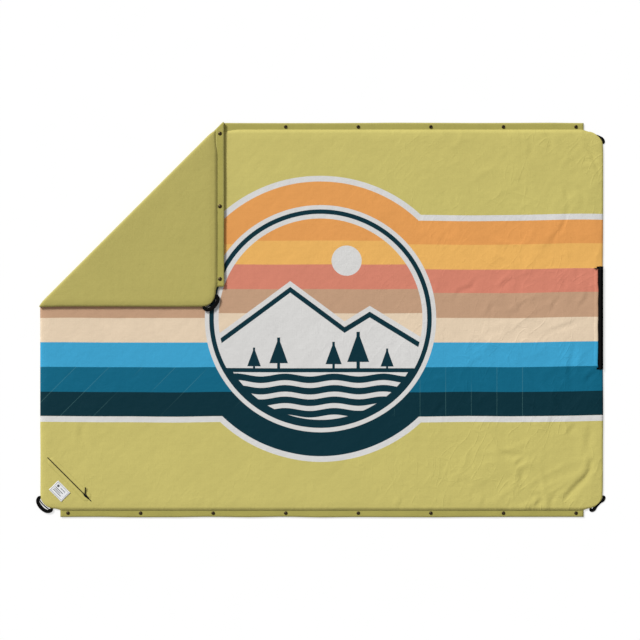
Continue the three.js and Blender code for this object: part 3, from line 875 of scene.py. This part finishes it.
BEND_SHARES = np.array([0.3, 0.55, 0.8, 1.0])
BEND_BULGE, FACE_BULGE = 0.72, -0.25  # how far out a row stands, as a share of its round place
BEND_LEVEL = 0.0078  # no row of the bend lies between this height and its mirror over the axis
BEND_REACH, BEND_CLEAR = 0.0009, 0.0006  # the face's bend above the face, the back's below it


def bend_angles(height, level):
    """How far round the fold each row of cloth is: up to that level, then on from its mirror."""
    widest = np.arccos(np.clip((FOLD_HEIGHT - level) / (FOLD_HEIGHT - height), 0, 1))
    first = [share * widest for share in BEND_SHARES]
    return first + [math.pi - angle for angle in first[::-1]]


def bend_rows(x, y, height, level, bulge):
    """Rows of points round the fold, from the side that lies flat to the side turned over."""
    radius = FOLD_HEIGHT - height
    rows = []
    for angle in bend_angles(height, level):
        out = radius * np.sin(angle) * bulge * ROOT_HALF
        rows.append(np.stack([x - out, y + out, FOLD_HEIGHT - radius * np.cos(angle)], 1))
    return rows


STEP = 0.0075
COLUMNS, ROWS = round(2 * HALF_LENGTH / STEP), round(2 * HALF_WIDTH / STEP)
FOLD_ROW = round((FOLD_OFFSET - HALF_LENGTH + HALF_WIDTH) / STEP)


def round_corners(x, y):
    """Moves a square grid's corner points on to the rounded outline."""
    px = np.maximum(np.abs(x) - (HALF_LENGTH - CORNER), 0) / CORNER
    py = np.maximum(np.abs(y) - (HALF_WIDTH - CORNER), 0) / CORNER
    new_x = x - np.sign(x) * CORNER * px * (1 - np.sqrt(1 - py * py / 2))
    new_y = y - np.sign(y) * CORNER * py * (1 - np.sqrt(1 - px * px / 2))
    return new_x, new_y


PULL_INSET, PULL_DEPTH, PULL_REACH = 0.012, 0.0055, 0.034


def corner_pull(x, y):
    """The right-hand corners are drawn in by the loops folded under them."""
    away = np.hypot(np.abs(x) - HALF_LENGTH + PULL_INSET, np.abs(y) - HALF_WIDTH + PULL_INSET)
    pull = PULL_DEPTH * np.exp(-((away / PULL_REACH) ** 2)) * (x > 0)
    return -pull * ROOT_HALF, -np.sign(y) * pull * ROOT_HALF


ROLL, PULL_IN = 0.0062, 0.055  # how far an edge rolls over its tape, and how far in a side is drawn


def skin_levels(x, y, heights, past_fold, on_fold):
    """Where each side of the cloth lies, and its second copy of the points on the fold."""
    rolled = y + np.sign(y) * ROLL * over_tape(x, y) * (np.abs(y) > HALF_WIDTH - MILLIMETRE)
    drawn = smooth(PULL_IN, 0.0, HALF_LENGTH - np.abs(x))
    slack = np.where(x > 0, 0.0032, 0.0012) + 0.0009 * noise(y / 0.16 + 4, np.sign(x) * 3, 61)
    shift_x = -np.sign(x) * drawn * slack * smooth(0.63, 0.60, np.abs(y))
    shift_x = shift_x * smooth(0.0, 0.06, np.abs(past_line(x, y)))
    pull_x, pull_y = corner_pull(x, y)
    levels = []
    for height in heights:
        level = np.stack([x + shift_x + pull_x, rolled + pull_y + drift(x, y), height], 1)
        over = np.stack(folded(x + shift_x, rolled, height), 1)
        level[past_fold] = over[past_fold]
        levels += [level, over[on_fold]]
    return levels


def fold_bends(x, y, heights, fold, starts):
    """Rows of points round the fold on both sides, and each side's vertex numbers row by row."""
    face, back = heights[0][fold], heights[1][fold]
    level = np.minimum(BEND_LEVEL, face - BEND_CLEAR)
    sides = (bend_rows(x[fold], y[fold], face, face + BEND_REACH, FACE_BULGE),
             bend_rows(x[fold], y[fold], back, level, BEND_BULGE))
    along = np.arange(len(fold))
    bends, fresh = [], starts[-1]
    for side, rows in enumerate(sides):
        new = [fresh + row * len(fold) + along for row in range(len(rows))]
        fresh += len(rows) * len(fold)
        bends.append(np.array([starts[2 * side] + fold, *new, starts[2 * side + 1] + along]))
    return [*sides[0], *sides[1]], bends


def bend_faces(bends):
    """The faces round the fold, each with its side, and those that close the fold's two ends."""
    found = []
    for side, ids in enumerate(bends):
        for low, high in zip(ids[:-1], ids[1:]):
            for k in range(len(low) - 1):
                quad = [low[k], low[k + 1], high[k + 1], high[k]]
                found.append((quad if side == 0 else quad[::-1], side))
    for end, step in ((0, 1), (-1, -1)):
        for row in range(len(bends[0]) - 1):
            quad = [bends[0][row, end], bends[0][row + 1, end],
                    bends[1][row + 1, end], bends[1][row, end]]
            found.append((quad[::step], 1))
    return found


def build_blanket():
    """Face, back, edge and fold of the whole panel as one closed skin, side 0 its face."""
    i, j = np.meshgrid(np.arange(COLUMNS + 1), np.arange(ROWS + 1), indexing="ij")
    x, y = round_corners(-HALF_LENGTH + i * STEP, -HALF_WIDTH + j * STEP)
    x, y = x.ravel(), y.ravel()
    on_fold, past_fold = (j - i == FOLD_ROW).ravel(), (j - i > FOLD_ROW).ravel()
    count = len(x)
    flat = np.stack([x, y], 1)
    faces_at = face_height(x, y), back_height(x, y)
    fold = np.flatnonzero(on_fold)
    fold_index = np.full(count, -1)
    fold_index[fold] = np.arange(len(fold))
    points = skin_levels(x, y, faces_at, past_fold, on_fold)
    places = [flat, flat[fold], flat, flat[fold]]
    starts = np.cumsum([0] + [len(p) for p in points])
    rows, bends = fold_bends(x, y, faces_at, fold, starts)
    points += rows
    places += [flat[fold]] * len(rows)

    def index(side, a, b, turned):
        """The vertex of a grid node, on the turned copy where that side is the flap's."""
        node = a * (ROWS + 1) + b
        if turned and b - a == FOLD_ROW:
            return starts[2 * side + 1] + fold_index[node]
        return starts[2 * side] + node

    faces, material = [], []

    def add(side, corners, turned):
        ids = [index(side, a, b, turned) for a, b in corners]
        faces.append(ids if side == 0 else ids[::-1])
        material.append(side)

    for a in range(COLUMNS):
        for b in range(ROWS):
            square = [(a, b), (a + 1, b), (a + 1, b + 1), (a, b + 1)]
            for side in (0, 1):
                if b - a == FOLD_ROW:
                    add(side, [square[0], square[1], square[2]], False)
                    add(side, [square[0], square[2], square[3]], True)
                else:
                    add(side, square, b - a > FOLD_ROW)
    rim = ([(a, 0) for a in range(COLUMNS)] + [(COLUMNS, b) for b in range(ROWS)]
           + [(a, ROWS) for a in range(COLUMNS, 0, -1)] + [(0, b) for b in range(ROWS, 0, -1)])
    for here, there in zip(rim, rim[1:] + rim[:1]):
        turned = (here[1] - here[0] > FOLD_ROW) or (there[1] - there[0] > FOLD_ROW)
        ids = [index(1, *here, turned), index(1, *there, turned),
               index(0, *there, turned), index(0, *here, turned)]
        faces.append(ids)
        material.append(1)
    for face, side in bend_faces(bends):
        faces.append(face)
        material.append(side)
    made = make_mesh("blanket_cloth", np.concatenate(points), faces, [PRINTED, PLAIN],
                     material, np.concatenate(places))
    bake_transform(made)
    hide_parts("front_shell", "insulation", "back_shell", "corner_front_shell",
                "corner_insulation", "corner_back_shell", "fold_bend")


build_blanket()


# ---- snap tapes


def tape_sway(x, side):
    """The outer edge of a sewn tape is never quite straight."""
    return 0.0012 * noise(x / 0.13 + 7 * side, x * 0 + 3, 31)


def tape_wave(x, side):
    """The outer edge of a sewn tape rises and falls a little."""
    return 0.0005 * noise(x / 0.05 + 5 * side, x * 0 + 8, 32)


TAPE_POINTS = 7
ACROSS = np.linspace(0, 1, TAPE_POINTS)


def near_tape():
    """The tape along the near edge, sewn under the rim."""
    x = np.linspace(-TAPE_HALF_LENGTH, TAPE_HALF_LENGTH, 242)
    rows, flat = [], []
    for at in x:
        inner = HALF_WIDTH - TAPE_SEWN
        outer = TAPE_EDGE + tape_sway(at, 1) - TAPE_INSET
        y = -(inner + (outer - inner) * ACROSS)
        z = SEAM + tape_wave(at, 1) * ACROSS - 0.0006 * ACROSS ** 2
        rows.append(np.stack([np.full(TAPE_POINTS, at), y, z], 1))
        flat.append(np.stack([np.full(TAPE_POINTS, at), y], 1))
    made = ribbon("near_snap_tape", rows, TAPE_CLOTH, TAPE, flat)
    place(made, "root", "tape_cloth", "snap_tape_near")


def far_tape():
    """One tape along the far edge that turns over with the corner."""
    fold_x = HALF_WIDTH - FOLD_OFFSET
    before = np.linspace(-TAPE_HALF_LENGTH, fold_x, 72)
    after = np.linspace(fold_x, TAPE_HALF_LENGTH, 170)
    inner, outer = HALF_WIDTH - TAPE_SEWN, TAPE_EDGE - TAPE_INSET

    def row(at):
        lean = np.clip(1 - abs(at - fold_x) / 0.09, 0, 1)
        y = inner + (outer + tape_sway(at, 2) * (1 - lean) - inner) * ACROSS
        x = at + (y - HALF_WIDTH) * lean
        z = SEAM + tape_wave(at, 2) * ACROSS * min(1, abs(at - fold_x) / 0.03)
        return x, y, z

    rows, flat = [], []
    for at in before:
        x, y, z = row(at)
        rows.append(np.stack(folded(x, y, z), 1))
        flat.append(np.stack([x, y], 1))
    x, y, z = row(fold_x)
    radius = FOLD_HEIGHT - SEAM
    for angle in bend_angles(SEAM, BEND_LEVEL)[::-1]:
        out = radius * math.sin(angle) * BEND_BULGE * ROOT_HALF
        height = np.full(TAPE_POINTS, FOLD_HEIGHT - radius * math.cos(angle))
        rows.append(np.stack([x - out, y + out, height], 1))
        flat.append(np.stack([x, y], 1))
    for at in after:
        x, y, z = row(at)
        rows.append(np.stack([x, y, z], 1))
        flat.append(np.stack([x, y], 1))
    made = ribbon("far_snap_tape", rows, TAPE_CLOTH, TAPE, flat)
    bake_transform(made)
    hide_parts("snap_tape_far", "snap_tape_corner")


near_tape()
far_tape()


# ---- snaps

# Turned profiles, in millimetres: out from the axis, and up from the tape.
CAP_HEIGHT = 1.8
CAP = ((0, CAP_HEIGHT), (1.6, 1.78), (3.2, 1.62), (4.7, 1.32), (5.9, 0.92), (6.6, 0.55), (6.95, 0.3),
       (7.0, 0.12), (6.8, 0.0), (1.8, 0.0), (1.8, -3.05), (1.5, -3.1), (0, -3.1))
SOCKET = ((1.95, 0.0), (6.1, 0.0), (6.25, 0.2), (6.25, 0.55), (6.0, 0.85), (5.1, 1.05),
          (4.85, 1.4), (4.75, 2.6), (4.45, 3.05), (3.95, 3.2), (3.4, 3.1), (3.05, 2.75),
          (2.9, 2.2), (2.85, 1.1), (1.95, 0.95))
STUD = ((1.95, 0.0), (6.1, 0.0), (6.25, 0.2), (6.25, 0.55), (6.0, 0.85), (4.2, 0.95),
        (3.4, 1.1), (2.5, 1.15), (2.3, 1.5), (2.45, 2.1), (2.5, 2.5), (2.3, 2.95), (1.8, 3.2),
        (0, 3.2), (0, 1.2), (1.95, 1.15))


def add_snap(row, number, inner_kind, profile):
    """A cap on the plain side of a tape, and a socket or stud on its printed side."""
    turned = row == "far" and number <= 3
    body = "corner" if turned else "root"
    for kind, shape in (("cap", CAP), (inner_kind, profile)):
        node = f"{row}_snap_{number}_{kind}"
        low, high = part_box(node)
        up = (kind != "cap") != turned
        base = low.z if up else high.z
        if kind == "cap":
            base = (high.z - CAP_HEIGHT * MILLIMETRE if up
                    else low.z + CAP_HEIGHT * MILLIMETRE)
        centre = ((low.x + high.x) / 2, (low.y + high.y) / 2, base)
        made = lathe(f"{row}_{kind}_{number}", shape, centre, 1 if up else -1, BRONZE)
        place(made, body, "snap_metal", node)


for snap_number in range(1, 9):
    add_snap("far", snap_number, "socket", SOCKET)
    add_snap("near", snap_number, "stud", STUD)


# ---- corner loops

LOOP_WIDTH, STRAND_WIDTH, LOOP_CLOTH = 0.0130, 0.0060, 0.0017
TUCKED_LEVEL = 0.0017  # of the loops that lie beneath a corner
GATHERED_SHARE, SEWN_WIDTH = 0.12, 0.5  # how much of a loop narrows to its sewn end, and to what
# Two distances from the corner's centre, whose points add_loop works out but does not use further; a
# loop's ends stay in the seam.
HINGE_START, HINGE_END = 0.0375, 0.0430
# Each loop's line from one end to the other: outward from the corner's centre, then across.
OPEN_LOOP = ((0.0368, -0.0268), (0.0480, -0.0295), (0.0585, -0.0240), (0.0645, -0.0090),
             (0.0652, 0.0090), (0.0600, 0.0240), (0.0490, 0.0310), (0.0368, 0.0272))
INNER_STRAND = ((0.0372, -0.0255), (0.0490, -0.0245), (0.0530, -0.0100), (0.0528, 0.0100),
                (0.0490, 0.0255), (0.0372, 0.0260))
FAR_RIGHT_LOOP = ((0.0350, -0.0255), (0.0440, -0.0245), (0.0475, -0.0150), (0.0440, -0.0020),
                  (0.0395, 0.0090), (0.0355, 0.0170))
NEAR_RIGHT_LOOP = ((0.0345, -0.0290), (0.0440, -0.0350), (0.0490, -0.0270), (0.0452, -0.0120),
                   (0.0448, 0.0060), (0.0480, 0.0190), (0.0435, 0.0280), (0.0345, 0.0255))


def add_loop(name, body, signs, shape, level, roll=0.0, turned=False, width=LOOP_WIDTH):
    """A webbing loop sewn to a rounded corner, lying open beyond it or tucked beneath it."""
    line = spline(shape, 56)
    signs = np.array(signs)
    centre = signs * np.array([HALF_LENGTH - CORNER, HALF_WIDTH - CORNER])
    out, along = signs * ROOT_HALF, np.array([-signs[1], signs[0]]) * ROOT_HALF
    spot = centre + line[:, :1] * out + line[:, 1:] * along
    share = np.linspace(0, 1, len(line))
    middle = np.sin(np.pi * share) ** 2
    free = smooth(0.0, GATHERED_SHARE, np.minimum(share, 1 - share))
    sewn = min(SEAM, 2 * level)
    z = sewn + (level - sewn) * free
    z = z + 0.0005 * np.sin(share * 5.5 + signs[0]) * middle * (level == SEAM)
    lay = folded if turned else (lambda x, y, height: (x, y, height))
    x, y, z = lay(spot[:, 0], spot[:, 1], z)
    section = np.repeat(rounded_strip(width, LOOP_CLOTH)[None], len(line), 0)
    gathered = SEWN_WIDTH + (1 - SEWN_WIDTH) * free
    section[:, :, 0] *= (gathered * (0.86 + 0.14 * middle))[:, None]
    way = signs[0] * signs[1] * (-1 if turned else 1)
    sway = 0.08 if level == SEAM else 0.01
    tilt = way * (roll * np.clip(middle * 3, 0, 1) + sway * np.sin(share * 7) * middle)
    made = swept(name, np.stack([x, y, z], 1), section, WEBBING, roll=tilt)
    start, end = (lay(*(centre + reach * out), SEAM) for reach in (HINGE_START, HINGE_END))
    if "webbing" in name:
        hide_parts(body)
    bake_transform(made)


for loop, loop_signs, loop_roll, loop_turned in (("loop_near_left", (-1, -1), 0.10, False),
                                                 ("loop_far_left", (-1, 1), 0.12, True)):
    add_loop(loop + "_webbing", loop, loop_signs, OPEN_LOOP, SEAM, loop_roll, loop_turned)
    add_loop(loop + "_strand", loop, loop_signs, INNER_STRAND, SEAM, 1.2, loop_turned,
             STRAND_WIDTH)
for loop, loop_signs, loop_shape in (("loop_far_right", (1, 1), FAR_RIGHT_LOOP),
                                     ("loop_near_right", (1, -1), NEAR_RIGHT_LOOP)):
    add_loop(loop + "_webbing", loop, loop_signs, loop_shape, TUCKED_LEVEL)


# ---- zips

ZIP_TAPE_WIDTH, ZIP_TAPE_CLOTH, LIP_WIDTH, LIP_CLOTH = 0.0100, 0.0006, 0.0135, 0.0007
COIL_WIDTH, COIL_PITCH, COIL_HALF, ZIP_LEVEL = 0.0032, 0.0013, 0.0009, 0.0085
CORNER_STOP, EDGE_STOP = 0.013, 0.002  # how far short of a zip's ends its tapes stop
# A lip's height across it, and the height that it sinks to at its ends.
LIP_CROWN, LIP_END = np.array([0.0090, 0.0097, 0.0098, 0.0096, 0.0093, 0.0089, 0.0084]), 0.0070


def add_zip(pocket, middle, along, half, lip_gap):
    """Two tapes, a ribbed coil between them, and the rolled edges of cloth that cover the tapes."""
    middle, along = np.array(middle), np.array(along)
    across = np.array([-along[1], along[0]])
    stop = half - (CORNER_STOP if pocket == "corner" else EDGE_STOP)
    run = np.linspace(-stop, stop, round(half * 2 / 0.004))
    for side, which in ((1, "inner"), (-1, "outer")):
        inner_edge = COIL_WIDTH / 2 - 0.0002
        offsets = side * np.linspace(inner_edge, inner_edge + ZIP_TAPE_WIDTH, 5)
        flat = middle + run[:, None, None] * along + offsets[None, :, None] * across
        z = ZIP_LEVEL - 0.0001 + 0.00015 * noise(run / 0.02, run * 0 + side, 41)
        level = np.broadcast_to(z[:, None, None], (*flat.shape[:2], 1))
        made = ribbon(f"{pocket}_zip_tape_{which}_cloth", np.concatenate([flat, level], 2),
                      ZIP_TAPE_CLOTH, ZIP_TAPE)
        place(made, "root", "zip_tape", f"{pocket}_pocket_zip_tape_{which}")
        if pocket == "edge" and side > 0:
            continue
        lip = lip_rows(middle, along, across, side, half, lip_gap)
        flat = lip[:, :, :2] - drift(lip[:, :, 0], lip[:, :, 1])[:, :, None] * (0, 1)
        made = ribbon(f"{pocket}_zip_lip_{which}", lip, LIP_CLOTH, PRINTED, flat=flat)
        place(made, "root", "face_cloth")
    steps = round(2 * half / (COIL_PITCH / 2))
    run = np.linspace(-half, half, steps)
    path = np.concatenate([middle + run[:, None] * along,
                           np.full((steps, 1), ZIP_LEVEL + 0.0005)], 1)
    angles = np.linspace(0, 2 * math.pi, 8, endpoint=False)
    section = np.stack([np.cos(angles) * COIL_WIDTH / 2, np.sin(angles) * COIL_HALF], 1)
    section = np.repeat(section[None], steps, 0)
    section[1::2] *= 0.82
    made = swept(f"{pocket}_zip_teeth", path, section, COIL)
    place(made, "root", "zip_coil", f"{pocket}_pocket_zip_coil")


def lip_rows(middle, along, across, side, half, gap):
    """A rolled edge of face cloth beside a zip, which sinks into the face at its outer side."""
    run = np.linspace(-half, half, round(half * 2 / 0.005))
    share = np.linspace(0, 1, len(LIP_CROWN))
    sway = 0.0005 * noise(run / 0.03, run * 0 + 5 + side, 42)
    near = np.interp(run, gap[0], gap[1]) / 2 + sway * gap[2]
    ends = smooth(0.0, 0.018, half - np.abs(run))
    breadth = LIP_WIDTH * (0.25 + 0.75 * ends)
    offsets = side * ((near * (0.3 + 0.7 * ends))[:, None] + breadth[:, None] * share[None, :])
    flat = middle + run[:, None, None] * along + offsets[:, :, None] * across
    z = LIP_END + (LIP_CROWN[None, :] - LIP_END) * ends[:, None]
    return np.concatenate([flat, z[:, :, None]], 2)


# The gap between the lips: where along the zip, how wide there, and how much it wavers.
add_zip("corner", ZIP_MIDDLE, ZIP_ALONG, ZIP_HALF,
        ((-0.107, -0.095, 0.066, 0.078, 0.098, 0.107),
         (0.0012, 0.0028, 0.0030, 0.0062, 0.0058, 0.0014), 0.5))
add_zip("edge", (EDGE_ZIP_X, EDGE_ZIP_MIDDLE), (0.0, -1.0), EDGE_ZIP_HALF,
        ((-0.18, -0.15, -0.10, -0.06, 0.18), (0.0140, 0.0140, 0.0115, 0.0140, 0.0150), 2.2))


PULLER_START, EYE_RADIUS = 0.0015, 0.00105


def add_puller(pocket, body, length, way, bend):
    """A cord-like tab sewn round the slider's bar, with a heat-sealed end."""
    low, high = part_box(f"{pocket}_pocket_zip_puller")
    centre_z = (low.z + high.z) / 2
    if pocket == "corner":
        start = np.array([(low.x + high.x) / 2, high.y - length, centre_z])
    else:
        start = np.array([high.x - PULLER_START, (low.y + high.y) / 2, centre_z])
    way = np.array([*way, 0.0])
    side = np.array([-way[1], way[0], 0.0])
    share = np.linspace(0, 1, 22)
    path = (start + way * (PULLER_START + (length - PULLER_START) * share[:, None])
            + side * (bend * share ** 2)[:, None])
    widths = 0.55 + 0.45 * smooth(0.05, 0.3, share)
    widths[-3:] *= (1.02, 0.98, 0.85)
    section = np.repeat(rounded_strip(0.0040, 0.0015, 4)[None], len(path), 0)
    section[:, :, 0] *= widths[:, None]
    tab = swept(f"{pocket}_puller_tab", path, section, PULL_CLOTH)
    place(tab, body, "webbing", f"{pocket}_pocket_zip_puller")
    turn = np.linspace(0, 2 * math.pi, 25)
    ring = np.stack([start[0] + way[0] * EYE_RADIUS * np.cos(turn),
                     start[1] + way[1] * EYE_RADIUS * np.cos(turn),
                     start[2] + EYE_RADIUS * np.sin(turn)], 1)
    eye = swept(f"{pocket}_puller_eye", ring, rounded_strip(0.0022, 0.0006, 2), PULL_CLOTH,
                up=side)
    place(eye, body, "webbing")


add_puller("corner", "corner_zip_puller", 0.0278, (0.0, 1.0), -0.0015)
add_puller("edge", "edge_zip_puller", 0.0198, (-1.0, 0.0), 0.0012)


# ---- pocket linings and the label


LINING_INSET, LINING_POINTS = 0.004, 26


def add_lining(node, name):
    """The pocket's lining, just under the printed face."""
    low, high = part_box(node)
    x = np.linspace(low.x + LINING_INSET, high.x - LINING_INSET, LINING_POINTS)
    y = np.linspace(low.y + LINING_INSET, high.y - LINING_INSET, LINING_POINTS)
    narrowing = 0.985 if "corner" in node else 0.0  # the corner pocket is a triangle
    grid = np.array([[(a, y[0] + (b - y[0]) * (1 - narrowing * (a - x[0]) / (x[-1] - x[0])))
                      for b in y] for a in x])
    z = np.minimum(face_height(grid[:, :, 0], grid[:, :, 1]) - 0.0015, 0.0074)
    made = ribbon(name, np.concatenate([grid, z[:, :, None]], 2), 0.0006, LINING)
    place(made, "root", "lining", node)


add_lining("corner_pocket_bag", "corner_pocket_lining")
add_lining("edge_pocket_bag", "edge_pocket_lining")


LABEL_BAR = 0.0011  # half the thickness of a bar
LABEL_BARS = ((-0.003, 0.0010, 0.0180), (-0.007, -0.0045, 0.0140), (-0.003, -0.0100, 0.0180),
              (0.006, 0.0100, 0.0110))  # middle along, level, half length


def label_material():
    """White woven label with a border and a plain device: a spot and four bars."""
    net = Net("woven_label_cloth", 0.6, specular=0.15)
    x, y = net.place()
    paper, ink = seen(238, 239, 240), seen(46, 48, 52)
    inside = net.least(LABEL_HALF_LENGTH - x.size(), LABEL_HALF_WIDTH - y.size())
    border = 0.0009 - (inside - 0.004).size()
    spot_x, spot_y = x + 0.016, y - 0.010
    spot = 0.0045 - net.math("SQRT", spot_x * spot_x + spot_y * spot_y)
    bars = [net.least(LABEL_BAR - (y - level).size(), half - (x - middle).size())
            for middle, level, half in LABEL_BARS]
    shape = net.most(spot, *bars)
    colour = net.mix(net.fill(border, 0.0008) * 0.5, paper, ink)
    colour = net.mix(net.fill(shape, 0.0008) * 0.9, colour, ink)
    weave = weave_height(net, x, y, 0.0007)
    cloud = net.speckle(80.0)
    net.paint(colour)
    net.rough((cloud - 0.5) * 0.2 + 0.6)
    net.bump(weave * 0.3 + cloud * 0.5, 0.0004)
    return net.material


def add_label():
    """The label beside the corner pocket's zip, its corners curling up a little."""
    a = np.linspace(-LABEL_HALF_LENGTH, LABEL_HALF_LENGTH, 25)
    b = np.linspace(-LABEL_HALF_WIDTH, LABEL_HALF_WIDTH, 19)
    along, across = np.array(ZIP_ALONG), np.array([ROOT_HALF, ROOT_HALF])
    flat = np.array([[(u, v) for v in b] for u in a])
    grid = np.array(LABEL_MIDDLE) + flat[:, :, :1] * along + flat[:, :, 1:] * across
    curl = ((np.abs(flat[:, :, 0]) / LABEL_HALF_LENGTH) ** 4
            * (np.abs(flat[:, :, 1]) / LABEL_HALF_WIDTH) ** 2)
    z = 0.0098 + 0.0009 * curl + 0.0003 * noise(flat[:, :, 0] / 0.02, flat[:, :, 1] / 0.02, 51)
    made = ribbon("corner_label", np.concatenate([grid, z[:, :, None]], 2), 0.0006,
                  label_material(), flat)
    place(made, "root", "label_cloth", "woven_label")


add_label()

for name in ("corner_pocket_zip_slider", "edge_pocket_zip_slider"):
    slider = bpy.data.objects[name]
    slider.data.materials.clear()
    slider.data.materials.append(BLACK_METAL)


# ---- floor, light and camera

FIELD, CAMERA_X, LENS = 2.212, -0.007, 100.0
SKY_LIGHT = 0.40
FLOOR_GLOW, FLOOR_HALF = 0.6, 40.0  # a lit table, so that shadows on it stay faint


def studio():
    """A pale floor under a soft key light and an even sky, seen from straight above."""
    world = bpy.data.worlds.new("studio")
    bpy.context.scene.world = world
    world.use_nodes = True
    world.node_tree.nodes["Background"].inputs[0].default_value = (1, 1, 1, 1)
    world.node_tree.nodes["Background"].inputs[1].default_value = SKY_LIGHT
    light = bpy.data.lights.new("key", "SUN")
    light.angle = math.radians(18)
    toward = Vector((-0.55, 0.62, 0.60)).normalized()
    light.energy = (LIGHT_LEVEL - SKY_LIGHT) * math.pi / toward.z
    lamp = bpy.data.objects.new("key", light)
    lamp.rotation_mode = "QUATERNION"
    lamp.rotation_quaternion = toward.to_track_quat("Z", "Y")
    bpy.context.scene.collection.objects.link(lamp)
    net = Net("pale_floor", 0.9, specular=0.1)
    net.space()
    grain = net.speckle(8.0, 3.0)
    net.paint(net.grey(grain * 0.01 + 0.93 * (1 - FLOOR_GLOW)))
    net.shader.inputs["Emission Color"].default_value = (1, 1, 1, 1)
    net.shader.inputs["Emission Strength"].default_value = FLOOR_GLOW
    corners = [(-FLOOR_HALF, -FLOOR_HALF, 0), (FLOOR_HALF, -FLOOR_HALF, 0),
               (FLOOR_HALF, FLOOR_HALF, 0), (-FLOOR_HALF, FLOOR_HALF, 0)]
    floor = make_mesh("floor", corners, [(0, 1, 2, 3)], [net.material])
    data = bpy.data.cameras.new("camera")
    data.lens, data.sensor_width, data.clip_end = LENS, 36.0, 50.0
    camera = bpy.data.objects.new("camera", data)
    camera.location = (CAMERA_X, 0, FIELD * LENS / data.sensor_width + LOFT)
    bpy.context.scene.collection.objects.link(camera)
    bpy.context.scene.camera = camera
    bpy.context.scene.view_settings.view_transform = "Standard"


studio()
